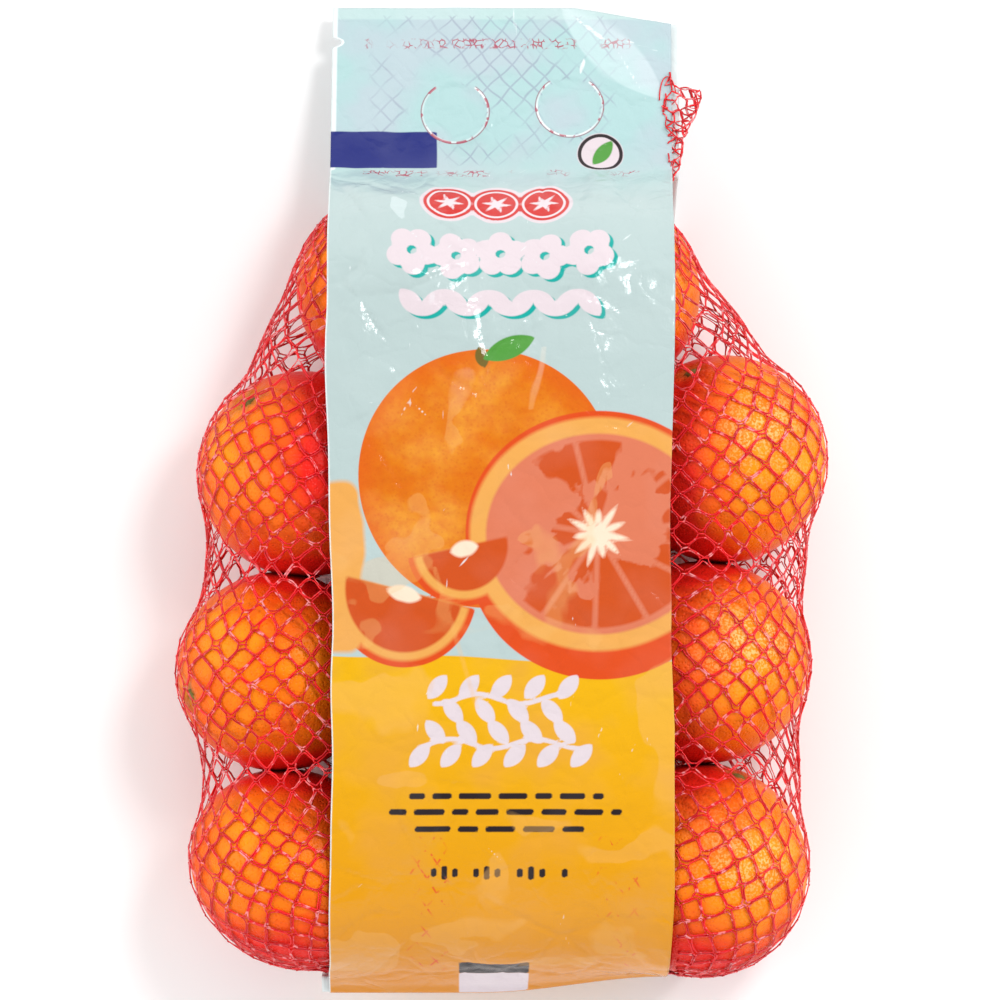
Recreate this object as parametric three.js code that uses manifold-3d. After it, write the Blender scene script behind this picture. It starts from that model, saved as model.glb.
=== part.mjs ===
// A sealed net bag of oranges with a printed film strip down its front and another down its back.
// Millimetres, +Z up. The bag lies on its back: X runs across it, Y runs up it to the carrying
// header, and the shown side faces +Z. The origin is at the bottom centre of the bag's box.
//
// The net with its fruit is one closed solid, because the net hugs the fruit. Each film strip is a
// thin sheet bent along a path in the YZ plane, and the net's flattened end runs between the two
// strips in the header.

import * as THREE from "three";
import { ConvexGeometry } from "three/addons/geometries/ConvexGeometry.js";
import { mergeVertices } from "three/addons/utils/BufferGeometryUtils.js";
import Module from "manifold-3d";

// Fruit: one layer of eleven oranges in rows of two, three, three and three. x and y are the middle
// of each, rx, ry and rz its half widths, and turn (degrees) swings a lopsided one about Z.
const ORANGES = {
  top_left: { x: -36.0, y: 71.4, rx: 34.3, ry: 34.3, rz: 34.3 },
  top_right: { x: 33.3, y: 70.0, rx: 34.3, ry: 34.3, rz: 34.3 },
  second_left: { x: -67.0, y: 8.8, rx: 36.4, ry: 35.0, rz: 35.3 },
  second_middle: { x: 4.8, y: 7.5, rx: 34.0, ry: 34.0, rz: 34.0 },
  second_right: { x: 75.1, y: 13.9, rx: 35.4, ry: 35.4, rz: 35.0 },
  third_left: { x: -75.8, y: -58.5, rx: 35.0, ry: 33.3, rz: 34.4 },
  third_middle: { x: -3.7, y: -59.8, rx: 34.0, ry: 34.0, rz: 34.0 },
  third_right: { x: 68.7, y: -55.1, rx: 36.2, ry: 34.0, rz: 34.8 },
  bottom_left: { x: -70.0, y: -125.5, rx: 37.6, ry: 32.8, rz: 34.6, turn: -30 },
  bottom_middle: { x: 0, y: -126.8, rx: 32.3, ry: 32.3, rz: 33.0 },
  bottom_right: { x: 68.3, y: -125.8, rx: 36.2, ry: 36.2, rz: 35.6 },
};
const FRUIT_DETAIL = 6; // how finely each orange's facets are split, and each web's
const WEB_DETAIL = 3;

// Net: knitted of strands about 1 mm thick. Between neighbours it dips in from the line that
// touches both, more at the sides than above and below, so the webs join oranges drawn at these
// shares of their size.
const NET_THICKNESS = 0.8;
const FULL_SIZE = { across: 1, up: 1 };
const WEB_SHARE = { across: 0.85, up: 0.95 };
const NECK_SHARE = { across: 0.95, up: 0.95 };
const WEBS = [
  ["top_left", "top_right", "second_middle"],
  ["top_left", "second_left", "second_middle"],
  ["top_right", "second_middle", "second_right"],
  ["second_left", "second_middle", "third_left", "third_middle"],
  ["second_middle", "second_right", "third_middle", "third_right"],
  ["third_left", "third_middle", "bottom_left", "bottom_middle"],
  ["third_middle", "third_right", "bottom_middle", "bottom_right"],
];
const SHOULDERS = [
  ["top_left", "second_left"],
  ["top_right", "second_right"],
];
// The net is drawn together into a flat bar at each end: low and high corners.
const NECK_BAR = [[-52, 108.2, 29.2], [52, 109.4, 30.8]];
const FOOT_BAR = [[-54, -162, 34.5], [52, -161, 36.5]];

// Film strips: polypropylene film, drawn thicker than it is so that it stays a solid.
const FILM_WIDTH = 116.5;
const FILM_THICKNESS = 0.4;
const GAP = 0.35; // clearance between pieces that touch
// How far each strip's middle line stands to the right of the bag's: the back one peeps out at the
// right of the header and at the left of the foot.
const FRONT_SHIFT = { head: 0, foot: -1.9 };
const BACK_SHIFT = { head: 3, foot: -3 };

// The front strip rides over each row of fruit at the crest height and sags between the rows. The
// back strip lies flat on the ground between its two y values.
const CREST = 73.6;
const CREST_ROWS = [72, 9, -58, -124];
const SAG = 1.8;
const ON_GROUND = { head: 80, foot: -134 };

// Header: the flat carrying end above the weld that shuts the net.
const WELD = { y: 110.7, z: 31 };
const HEADER_TOP = { y: 169.5, z: 9 };
const HEADER_CORNER = { x: 25, drop: 16 }; // the top edge falls away to the right from here

// Finger holes: round flaps, cut nearly all the way round and hinged at the top.
const FINGER_HOLES = [
  { x: -15.8, y: 132.6 },
  { x: 23.3, y: 134.7 },
];
const FINGER_RADIUS = 11.2;
const SLIT_WIDTH = 0.8;
const SLIT_STEPS = 16;
const HINGE_HALF_ANGLE = 35; // degrees of the circle left uncut on each side of the top
const TEAR_NOTCH = { y: 157.4, depth: 3.2, height: 3 };

// Foot: the strips meet in a short fin below the last row.
const FOOT = { y: -163, z: 39 };
const FIN_END = { y: -168, z: 29 };
const FIN_BEND = { y: -0.2, z: -5.4 }; // the handle of the bend into the fin, from the foot
const FRONT_STEPS = 64; // straight steps that stand for each strip's bends
const BACK_STEPS = 44;

// Handles of the strips' bends: how far each curve sets out along the flat of the crest or the
// ground, how steeply the front strip climbs to the crest, and where the back strip turns down.
const CREST_HANDLE = 26;
const CLIMB = { weld: -2, foot: 0.4, z: 21 };
const GROUND_HANDLE = 18;
const BACK_NECK = { y: 107.7, z: 14 };
const BACK_FOOT = { y: -162.2, z: 32, low: 12 };

// The net's end in the header. The list is its outline seen from the front, counter-clockwise:
// the right side is a torn tail that hangs out past the film.
const NET_END_THICKNESS = 0.5;
const LAYER_STEP = (FILM_THICKNESS + NET_END_THICKNESS) / 2 + GAP; // from one layer's middle to the next
const NET_END = [
  [-53.5, 109.9],
  [57, 109.9],
  [60.3, 113],
  [61.8, 119.6],
  [65.1, 129.9],
  [68, 135.2],
  [68.5, 140.5],
  [59.5, 142],
  [56, 155],
  [-53.5, 155],
];

const REACH = 300; // longer than the bag, for cutting blocks
const MERGE_DISTANCE = 1e-4;

const wasm = await Module();
wasm.setup();

// A closed geometry as a solid that can be joined and cut.
function solidOf(geometry) {
  const bare = geometry.clone();
  for (const name of Object.keys(bare.attributes)) {
    if (name !== "position") bare.deleteAttribute(name);
  }
  const merged = mergeVertices(bare, MERGE_DISTANCE);
  return new wasm.Manifold(
    new wasm.Mesh({
      numProp: 3,
      vertProperties: merged.attributes.position.array,
      triVerts: new Uint32Array(merged.index.array),
    }),
  );
}

function geometryOf(solid) {
  const mesh = solid.getMesh();
  const geometry = new THREE.BufferGeometry();
  geometry.setAttribute("position", new THREE.BufferAttribute(mesh.vertProperties, 3));
  geometry.setIndex(new THREE.BufferAttribute(mesh.triVerts, 1));
  geometry.computeVertexNormals();
  return geometry;
}

function joined(solids) {
  return solids.reduce((whole, solid) => whole.add(solid));
}

function block(low, high) {
  const size = high.map((value, axis) => value - low[axis]);
  const middle = high.map((value, axis) => (value + low[axis]) / 2);
  return new THREE.BoxGeometry(...size).translate(...middle);
}

// One orange at a share of its size with the net's thickness round it, resting on the ground.
function orange(name, share, detail) {
  const { x, y, rx, ry, rz, turn = 0 } = ORANGES[name];
  const radii = [rx * share.across, ry * share.across, rz * share.up].map((radius) => radius + NET_THICKNESS);
  return new THREE.IcosahedronGeometry(1, detail)
    .scale(...radii)
    .rotateZ(THREE.MathUtils.degToRad(turn))
    .translate(x, y, rz + NET_THICKNESS / 2);
}

// The tight skin round the named oranges at a share of their size, and round an end bar.
function web(names, share, bar) {
  const geometries = names.map((name) => orange(name, share, WEB_DETAIL));
  if (bar) geometries.push(block(...bar));
  const points = [];
  for (const { attributes } of geometries) {
    for (let i = 0; i < attributes.position.count; i++) {
      points.push(new THREE.Vector3().fromBufferAttribute(attributes.position, i));
    }
  }
  return solidOf(new ConvexGeometry(points));
}

// Net and fruit: every orange, the webs between neighbours, and the ends drawn together at the
// neck and at the foot. Its underside is flat where it meets the ground or the back strip.
function netAndOranges() {
  const pieces = Object.keys(ORANGES).map((name) => solidOf(orange(name, FULL_SIZE, FRUIT_DETAIL)));
  pieces.push(...WEBS.map((names) => web(names, WEB_SHARE)));
  pieces.push(...SHOULDERS.map((names) => web(names, FULL_SIZE)));
  pieces.push(web(["top_left", "top_right"], NECK_SHARE, NECK_BAR));
  pieces.push(web(["bottom_left", "bottom_middle", "bottom_right"], WEB_SHARE, FOOT_BAR));
  const halfStrip = FILM_WIDTH / 2 + BACK_SHIFT.head + GAP;
  const ground = block([-REACH, -REACH, -REACH], [REACH, REACH, 0]);
  const overStrip = block([-halfStrip, -REACH, -REACH], [halfStrip, REACH, FILM_THICKNESS + GAP]);
  return joined(pieces).subtract(solidOf(ground)).subtract(solidOf(overStrip));
}

// A strip of film: a box bent so that its middle surface follows a path of (y, z) points from head
// to foot, while its middle line moves sideways.
function strip(path, steps, shift) {
  const geometry = new THREE.BoxGeometry(FILM_WIDTH, 1, FILM_THICKNESS, 1, steps, 1);
  const position = geometry.attributes.position;
  for (let i = 0; i < position.count; i++) {
    const along = THREE.MathUtils.clamp(0.5 - position.getY(i), 0, 1);
    const point = path.getPointAt(along);
    const tangent = path.getTangentAt(along);
    const rise = position.getZ(i);
    const x = position.getX(i) + THREE.MathUtils.lerp(shift.head, shift.foot, along);
    position.setXYZ(i, x, point.x + tangent.y * rise, point.y - tangent.x * rise);
  }
  return solidOf(geometry);
}

// The front strip's path, from the header's top edge over the crest to the end of the fin.
function frontPath() {
  const [first, ...rest] = CREST_ROWS;
  const last = rest.at(-1);
  const rows = rest.flatMap((y, i) => [
    new THREE.Vector2((CREST_ROWS[i] + y) / 2, CREST - SAG),
    new THREE.Vector2(y, CREST),
  ]);
  return new THREE.Path()
    .moveTo(HEADER_TOP.y, HEADER_TOP.z)
    .lineTo(WELD.y, WELD.z)
    .bezierCurveTo(WELD.y + CLIMB.weld, WELD.z + CLIMB.z, first + CREST_HANDLE, CREST, first, CREST)
    .splineThru(rows)
    .bezierCurveTo(last - CREST_HANDLE, CREST, FOOT.y + CLIMB.foot, FOOT.z + CLIMB.z, FOOT.y, FOOT.z)
    .quadraticCurveTo(FOOT.y + FIN_BEND.y, FOOT.z + FIN_BEND.z, FIN_END.y, FIN_END.z);
}

// The back strip's path, two layer steps under the front one in the header, flat on the ground under
// the fruit and just under the front one again in the fin.
function backPath() {
  const ground = FILM_THICKNESS / 2;
  const end = BACK_FOOT;
  const slope = Math.atan2(HEADER_TOP.z - WELD.z, HEADER_TOP.y - WELD.y);
  const back = { y: 2 * LAYER_STEP * Math.sin(slope), z: -2 * LAYER_STEP * Math.cos(slope) };
  const fin = (FILM_THICKNESS + GAP) * Math.SQRT1_2;
  return new THREE.Path()
    .moveTo(HEADER_TOP.y + back.y, HEADER_TOP.z + back.z)
    .lineTo(WELD.y + back.y, WELD.z + back.z)
    .bezierCurveTo(BACK_NECK.y, BACK_NECK.z, ON_GROUND.head + GROUND_HANDLE, ground, ON_GROUND.head, ground)
    .lineTo(ON_GROUND.foot, ground)
    .bezierCurveTo(ON_GROUND.foot - GROUND_HANDLE, ground, end.y, end.low, end.y, end.z)
    .lineTo(FIN_END.y + fin, FIN_END.z - fin);
}

// An outline seen from the front as an upright cutter through the header.
function upright(outline) {
  return new THREE.ExtrudeGeometry(outline, { depth: CREST, bevelEnabled: false, curveSegments: SLIT_STEPS });
}

// The slit of one finger hole.
function slit({ x, y }) {
  const start = THREE.MathUtils.degToRad(90 + HINGE_HALF_ANGLE);
  const end = THREE.MathUtils.degToRad(450 - HINGE_HALF_ANGLE);
  const outline = new THREE.Shape()
    .absarc(0, 0, FINGER_RADIUS + SLIT_WIDTH / 2, start, end, false)
    .absarc(0, 0, FINGER_RADIUS - SLIT_WIDTH / 2, end, start, true);
  return upright(outline).translate(x, y, 0);
}

// What is cut out of both strips in the header: the slits, the tear notch and the falling corner.
function headerCuts() {
  const notch = new THREE.Shape([
    new THREE.Vector2(-FILM_WIDTH, TEAR_NOTCH.y - TEAR_NOTCH.height),
    new THREE.Vector2(TEAR_NOTCH.depth - FILM_WIDTH / 2, TEAR_NOTCH.y),
    new THREE.Vector2(-FILM_WIDTH, TEAR_NOTCH.y + TEAR_NOTCH.height),
  ]);
  const corner = new THREE.Shape([
    new THREE.Vector2(HEADER_CORNER.x, HEADER_TOP.y + GAP),
    new THREE.Vector2(FILM_WIDTH, HEADER_TOP.y - HEADER_CORNER.drop),
    new THREE.Vector2(FILM_WIDTH, REACH),
  ]);
  return joined([...FINGER_HOLES.map(slit), upright(notch), upright(corner)].map(solidOf));
}

// The flattened net between the strips, one layer step under the front one.
function netEnd() {
  const outline = new THREE.Shape(NET_END.map(([x, y]) => new THREE.Vector2(x, y)));
  const plate = new THREE.ExtrudeGeometry(outline, { depth: NET_END_THICKNESS, bevelEnabled: false });
  const slope = (HEADER_TOP.z - WELD.z) / (HEADER_TOP.y - WELD.y);
  const drop = LAYER_STEP * Math.hypot(1, slope) + NET_END_THICKNESS / 2;
  const position = plate.attributes.position;
  for (let i = 0; i < position.count; i++) {
    const fall = WELD.z + slope * (position.getY(i) - WELD.y);
    position.setZ(i, position.getZ(i) + fall - drop);
  }
  return solidOf(plate).subtract(joined(FINGER_HOLES.map(slit).map(solidOf)));
}

const netRed = new THREE.MeshStandardMaterial({ color: 0xe0262c, roughness: 0.5, metalness: 0 });
const orangePeel = new THREE.MeshStandardMaterial({ color: 0xf07d1e, roughness: 0.45, metalness: 0 });
const printedFilm = new THREE.MeshStandardMaterial({ color: 0xcfe3e0, roughness: 0.3, metalness: 0 });
const printedBackFilm = new THREE.MeshStandardMaterial({ color: 0xd8e4e2, roughness: 0.3, metalness: 0 });

function piece(name, solid, material) {
  const mesh = new THREE.Mesh(geometryOf(solid), material);
  mesh.name = name;
  return mesh;
}

const cuts = headerCuts();
const frontFilm = strip(frontPath(), FRONT_STEPS, FRONT_SHIFT).subtract(cuts);
const backFilm = strip(backPath(), BACK_STEPS, BACK_SHIFT).subtract(cuts);
const pieces = [
  piece("net_and_oranges", netAndOranges(), orangePeel),
  piece("front_film", frontFilm, printedFilm),
  piece("back_film", backFilm, printedBackFilm),
  piece("net_end", netEnd(), netRed),
];

// The bag is modelled about the middle of its face, then moved so that the origin is under the
// middle of its box.
const bag = new THREE.Group();
bag.add(...pieces);
const box = new THREE.Box3().setFromObject(bag);
const middle = box.getCenter(new THREE.Vector3());
bag.position.set(-middle.x, -middle.y, -box.min.z);

export default bag;
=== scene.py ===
"""A net bag of oranges: ripe fruit in a knitted red net, with a printed film strip front and back.

Lengths inside the building functions are millimetres from the middle of the bag's face, with the
ground at z 0. to_frame turns them into metres in the bag's own frame.
"""

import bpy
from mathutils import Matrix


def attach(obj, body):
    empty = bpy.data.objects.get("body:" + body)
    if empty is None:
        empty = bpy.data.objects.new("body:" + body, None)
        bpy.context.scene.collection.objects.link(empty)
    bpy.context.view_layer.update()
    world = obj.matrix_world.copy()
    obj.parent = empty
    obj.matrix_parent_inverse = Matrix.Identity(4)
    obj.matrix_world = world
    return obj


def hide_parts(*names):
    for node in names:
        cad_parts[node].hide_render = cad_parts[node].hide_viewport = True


bl_info = {
    "name": "Net bag of oranges",
    "version": (1, 0, 0),
    "blender": (4, 5, 0),
    "location": "3D View > Sidebar > Net bag",
    "description": "Builds a net bag of oranges with its printed film strips",
    "category": "Add Mesh",
}

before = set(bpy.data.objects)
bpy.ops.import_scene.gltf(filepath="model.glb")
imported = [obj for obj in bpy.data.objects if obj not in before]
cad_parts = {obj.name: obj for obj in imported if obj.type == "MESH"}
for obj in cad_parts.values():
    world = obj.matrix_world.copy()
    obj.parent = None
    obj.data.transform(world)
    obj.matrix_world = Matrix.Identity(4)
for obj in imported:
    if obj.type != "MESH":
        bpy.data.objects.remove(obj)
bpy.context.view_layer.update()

import functools
import math

import bmesh
import bpy
import numpy as np
from mathutils import Matrix, Vector

BODY = "root"
MM = 0.001
MIDDLE = np.array([-0.150, 0.716, 0.0])  # the middle of the bag's box, from the middle of its face

# Fruit: the middle of each orange (x, y), its half widths (rx, ry, rz) and its turn in degrees.
ORANGES = {
    "top_left": (-36.0, 71.4, 34.3, 34.3, 34.3, 0),
    "top_right": (33.3, 70.0, 34.3, 34.3, 34.3, 0),
    "second_left": (-67.0, 8.8, 36.4, 35.6, 35.3, 0),
    "second_middle": (4.8, 7.5, 34.0, 34.0, 34.0, 0),
    "second_right": (75.1, 13.9, 35.4, 35.8, 35.0, 0),
    "third_left": (-75.8, -58.3, 35.0, 34.3, 34.4, 0),
    "third_middle": (-3.7, -59.8, 34.0, 34.0, 34.0, 0),
    "third_right": (68.7, -55.1, 36.2, 35.0, 34.8, 0),
    "bottom_left": (-70.0, -125.1, 37.4, 33.3, 34.6, -30),
    "bottom_middle": (0.0, -126.8, 32.3, 32.3, 33.0, 0),
    "bottom_right": (68.1, -125.3, 36.2, 36.5, 35.6, 0),
}
FRUIT_LIFT = 1.2  # the fruit's lowest points stand on the net and the back strip
UNEVENNESS = 0.35  # how far the peel's slow lumps rise and fall
DIMPLE_DEPTH = 1.5  # at the stem end
FRUIT_INSET = 0.3  # the peel lies this far inside the half widths, which take in the net

LIT_FROM = np.array([0.45, 0.3, 0.84])  # painted light: fruit facing this way is left yellower, fruit facing away is painted redder as shade

HIGHLIGHT_FROM = np.array([0.42, 0.24, 0.875])  # painted highlight: pale flecks are painted round the peel's point facing this way

# Painted shade: how strongly the peel beside the film strip, which shades it, is painted redder at these y,
# on the left and on the right.
SHADE_BESIDE_FILM_LEVELS = (-155, -120, -95, -58, 10, 45, 58)
SHADE_BESIDE_FILM_LEFT = (0.15, 0.3, 0.65, 0.1, 1.0, 0.95, 0.1)
SHADE_BESIDE_FILM_RIGHT = (0.4, 0.3, 0.75, 0.65, 0.95, 0.9, 0.1)

# Which way each stem end points, where it can be seen. The others point down, each its own way.
STEM_ENDS = {
    "second_right": (-0.34, 0.86, 0.38),
    "bottom_right": (0.35, 0.92, 0.17),
    "third_left": (-0.88, -0.23, 0.41),
    "second_left": (-0.54, 0.72, 0.43),
}

# Film strips: their path in (y, z), the same as the solids' middle surfaces.
FILM_HALF = 58.25
WELD = (110.7, 31.0)  # where both strips are welded to the net
HEADER_TOP = (169.5, 9.0)
FILM_TOP = 73.6  # how high the front strip lies over the fruit
FOOT = (-163.0, 39.0)
FIN_END = (-168.0, 29.0)  # the fin that both strips make below the foot
GROUND_LAYER = 0.2  # how high the back strip lies
LAYER_STEP = 0.8  # from each layer to the next in the header
COURSE_COLUMNS = 49  # columns of the coarse grids that the strips are relaxed on
FRONT_SHIFT = (0.0, -1.9)  # how far right the strip's top and its foot lie
BACK_SHIFT = (3.0, -3.0)
COARSE_STEP = 2.2  # between the rows of the coarse grids
DRAPE_ROUNDS = {True: 150, False: 600}
HEADER_CORNER = (25.0, 16.0)  # the top edge falls away to the right of this x, at this rate
LEFT_DRAWN_IN = ((142, 245, 325, 375), (0, 3.0, 2.5, 1.2))  # at these s, by how much the left edge is
RIGHT_DRAWN_IN = ((150, 200, 245, 275, 330, 372, 390), (0, 1.0, 1.0, -0.6, -0.8, 0.3, 1.6))
FOOT_RISE = 5.5  # the bottom edge rises this much to its right end
TEAR_NOTCH = (157.4, 3.2, 1.6)  # its y, how deep it goes in and its half height
FINGER_HOLES = ((-15.8, 132.6), (23.3, 134.7))
FINGER_RADIUS = 11.2
HEADER_LENGTH = math.hypot(HEADER_TOP[0] - WELD[0], HEADER_TOP[1] - WELD[1])
HOLES_ON_STRIP = [
    (x, (HEADER_TOP[0] - y) * HEADER_LENGTH / (HEADER_TOP[0] - WELD[0])) for x, y in FINGER_HOLES
]
HINGE_HALF_ANGLE = 35.0  # in degrees, the uncut share of each hole to each side of its top
WELD_SMOOTHINGS = 12
WELD_BEND = 9.0  # the front strip bends softly over this length on both sides of its weld

# Net: how far the flattened ends reach from the middle, and where they lie.
NET_NECK = (53.0, 110.0, 30.2)
NET_FOOT = (53.0, -161.6, 35.4)

# Where the stiff net stands off the waist between two oranges: its side, the y of its middle, how
# far it stands out and over what half length.
NET_STANDS_OFF = (
    (-1, 56, 6.3, 18), (-1, -22, 1.2, 14), (1, 61, 5.2, 15), (1, -22, 3.9, 14), (1, -92, 4.2, 17),
)
NET_MIDDLE_LEVEL = 36.0  # above this the net is the bag's front, below it the back
NET_SLACK = 3.6  # how long a strand is when nothing pulls it
NET_ROUNDS = {True: 300, False: 900}

# Outline in (x, y) of the torn net end that sticks out past the header.
TAIL = (
    (55.0, 143.0), (57.6, 146.8), (59.5, 142.2), (64.5, 141.6), (68.6, 140.8), (67.9, 135.5),
    (65.2, 130.0), (63.8, 126.6), (61.7, 119.7), (61.4, 116.6), (60.6, 110.4), (58.6, 108.6),
    (55.4, 104.6), (55.0, 106.0), (57.0, 111.0), (56.6, 118.0), (55.6, 126.0), (54.6, 134.0),
)
TAIL_CORNERS = ((54, 104), (69, 147.5))  # the box that its knots are drawn in
TAIL_TRIES = 4000
TAIL_KNOTS_APART = 2.0
# Control points of the loose thread's curve.
LOOSE_THREAD = ((59.5, 139.5), (58.6, 147.5), (54.0, 147.5), (53.9, 136.8))

# The flattened net between the header's films.
LATTICE_STEP = 6.1  # from strand to strand
LATTICE_SLANT = 36  # how far sideways each strand runs
LATTICE_FOOT = 110.8
LATTICE_RISE = 43.5
LATTICE_SIDES = (-53, 55.5)

# Layout of the front strip's print, with x across it and s down it.
YELLOW_FROM = 251.6  # the yellow ground starts here
WHOLE_FRUIT = (-4.8, 191.3, 43.3)  # its middle and radius
STALK_STUB = (-6, 150.6, 7.5, 4.5, 75)  # leaf shapes: middle, length, width and turn in degrees
FRUIT_LEAF = (3.0, 147.5, 19, 7.5, -24)
HALF_FRUIT = (33.5, 210.0)
SEGMENTS = 11  # of the halved fruit
NEAR_WEDGE = (-33, 229, 25.5, -14)  # wedges: middle, radius and tilt in degrees
FAR_WEDGE = (-12, 214, 20, 12)
SIDE_SLICE = (-66, 193, -47.3, 249)  # bars: low x and s, high x and s
SLICES_LEVEL = 87.5
SLICES_AT = (-17.5, -1.5, 14.5)
SLICE_HALVES = (8.6, 9.9)
SPOKE = (12, 1.8)
SPOKE_TURNS = (10, 70, 130)
BADGE = (33.8, 55.2, 8.0)  # its middle and radius
BADGE_LEAF = (34.6, 54.9, 12, 5.0, -56)
NAVY_BLOCK = (-70, 46.7, -22.0, 61.2)
BLOSSOM_STEP = 14.8
BLOSSOM_LEVEL = 112.5
LEAF_ROW = (7.4, 131.5)  # the step between its leaves and its level
# Each sprig: its level, the wave of its stalk, its half length, its leaves to each side, the step
# between them, their shift and their lean.
SPRIGS = ((265.0, 0, 23, 4, 5.6, 1, 50), (280.0, 2, 28, 5, 5.5, 0, -48))
# Rows of dark bars: each one's level and where it starts and ends.
RULE_ROWS = ((297.8, -31, 35), (303.3, -38, 41), (309.3, -29, 33))
TALLY_LEVEL = 325.3  # the row of upright bars
DARK_MARK = (-13, 368.3, 11, 378)
PALE_MARK = (-13, 378, 11, 393)
HEADER_ENDS = 63  # the print changes here from the stiff header to the loose strip
MOLTEN_ROWS = ((13.5, 1.9), (65.0, 2.2))  # where the net melted into the welds: level and half height
RUBBED_PATCHES = ((-31, 312, -17, 378), (33, 312, 47, 378))  # where the net rubs through the print
CORNER_HIGHLIGHT = (38, 17, 50, 15, 45)  # a pale leaf shape of painted highlight on the header's corner
# Painted highlights along sharp folds in the header, as leaf shapes.
HEADER_CREASE_HIGHLIGHTS = (
    (31, 8.5, 21, 1.5, 40), (45, 26, 24, 0.8, 62), (47, 14, 15, 0.7, 20), (4.4, 5.0, 10, 0.9, 84),
    (27.7, 22, 7, 1.4, 104),
)
# Ovals where the film stands off the fruit under the yellow print: middle and half widths.
AIR_PATCHES = (
    (-44, 264, 19, 6), (57, 276, 8, 26), (-34, 291, 7, 4.5), (13, 309, 10, 5.5), (44, 318, 17, 5),
    (-4, 330, 5, 8), (-48, 362, 15, 12), (-12, 352, 16, 5), (40, 357, 8, 12), (24, 371, 12, 4),
)

# Inks in the order they are printed: the field that bounds each, its colour and how soft its edge is.
FRUIT_INKS = (
    ("peel", "#CC4616", 0.22), ("rind", "#D89A4C", 0.7), ("flesh", "#CA7052", 0.5),
    ("sacs", "#BE4A18", 0.5), ("stub", "#6B5A20", 0.22), ("cream", "#E8D0B8", 0.5),
    ("teal", "#129A92", 0.22), ("white", "#D0C3C8", 0.22),
)
LABEL_INKS = (
    # the first ink: the pale edge margin, with painted highlights along folds
    ("margin_and_highlights", "#D8E0E0", 0.22), ("navy", "#1A2470", 0.22), ("red", "#BE1E18", 0.22),
    ("crest_line", "#D6C8CC", 0.22),
)
LINE_INKS = (("green", "#4C8E3A", 0.22), ("dark", "#241A1E", 0.22), ("pale_mark", "#D6C8CE", 0.22))
MOLTEN_NET = "#A02C48"

CAMERA_AT = (-0.00053, -0.000716, 1.935)
CAMERA_LENS = 201.2

# Each light: its name, its place, how wide it is and its power in watts.
LIGHTS = (
    ("key_softbox", (1.5, 0.65, 1.1), 0.2, 9),
    ("top_softbox", (0.55, 0.6, 1.25), 0.35, 7),
    ("left_fill", (-1.5, 0.1, 1.0), 1.2, 10),
)
# The sky is dark straight overhead, where the film would mirror it, and bright from the walls down.
DARK_OVERHEAD = {"low": 0.7, "high": 0.88, "to_low": 1.18, "to_high": 0.34}


def colour(code):
    """An sRGB hex colour as the linear RGBA that the shader takes."""
    parts = [int(code[i : i + 2], 16) / 255 for i in (1, 3, 5)]
    return tuple(c / 12.92 if c <= 0.04045 else ((c + 0.055) / 1.055) ** 2.4 for c in parts) + (1.0,)


def to_frame(points):
    return (np.asarray(points) - MIDDLE) * MM


def unit(vectors):
    return vectors / np.maximum(np.linalg.norm(vectors, axis=-1, keepdims=True), 1e-9)


def smooth_step(low, high, value):
    t = np.clip((value - low) / (high - low), 0, 1)
    return t * t * (3 - 2 * t)


def value_noise(x, y, size, seed):
    """Soft noise from -1 to 1 over a plane, with lumps about one size wide."""
    table = np.random.default_rng(seed).uniform(-1, 1, (64, 64))
    gx, gy = x / size + 1000.0, y / size + 1000.0
    ix, iy = np.floor(gx).astype(int), np.floor(gy).astype(int)
    fx, fy = gx - ix, gy - iy
    fx, fy = fx * fx * (3 - 2 * fx), fy * fy * (3 - 2 * fy)

    def corner(dx, dy):
        return table[(ix + dx) % 64, (iy + dy) % 64]

    low = corner(0, 0) * (1 - fx) + corner(1, 0) * fx
    high = corner(0, 1) * (1 - fx) + corner(1, 1) * fx
    return low * (1 - fy) + high * fy


def creases(x, y, size, seed):
    """Straight sharp folds between random spots: 0 on a fold, rising to about 1 between folds."""
    rng = np.random.default_rng(seed)
    spots = rng.uniform((x.min(), y.min()), (x.max(), y.max()), (int(np.ptp(x) * np.ptp(y) / size**2), 2))
    distance = np.hypot(x[..., None] - spots[:, 0], (y[..., None] - spots[:, 1]))
    nearest = np.partition(distance, 1, axis=-1)[..., :2]
    return (nearest[..., 1] - nearest[..., 0]) / size


# The fruit as ellipsoids that the net and the film lie on.


def fruit_axes(name):
    """Middle, half widths of the bare peel, and the axes, of one orange."""
    x, y, rx, ry, rz, turn = ORANGES[name]
    c, n = math.cos(math.radians(turn)), math.sin(math.radians(turn))
    across = np.array([[c, n, 0], [-n, c, 0], [0, 0, 1]])
    return np.array([x, y, rz + FRUIT_LIFT - FRUIT_INSET]), np.array([rx, ry, rz]) - FRUIT_INSET, across


FRUIT = [fruit_axes(name) for name in ORANGES]


def pushed_out(points, clearance, ground):
    """The points, with those inside an orange moved out to its skin and those too low lifted."""
    points = points.copy()
    for middle, radii, across in FRUIT:
        grown = radii + clearance
        local = ((points - middle) @ across.T) / grown
        length = np.linalg.norm(local, axis=-1)
        inside = length < 1
        if inside.any():
            scaled = local[inside] / np.maximum(length[inside], 1e-6)[:, None]
            points[inside] = (scaled * grown) @ across + middle
    points[..., 2] = np.maximum(points[..., 2], ground)
    return points


def pushed_out_in_plane(points, clearance):
    """As pushed_out, but a point keeps its x and moves in y and z only."""
    points = points.copy()
    for middle, radii, across in FRUIT:
        offset = points - middle
        grown = radii + clearance
        fixed = (offset * (1, 0, 0)) @ across.T / grown
        free = (offset * (0, 1, 1)) @ across.T / grown
        a = np.maximum((free**2).sum(-1), 1e-9)
        b = 2 * (fixed * free).sum(-1)
        c = (fixed**2).sum(-1) - 1
        reach = (-b + np.sqrt(np.maximum(b * b - 4 * a * c, 0))) / (2 * a)
        inside = (c < 0) & (reach > 1)
        points[inside, 1:] = middle[1:] + offset[inside, 1:] * reach[inside, None]
    return points


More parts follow.
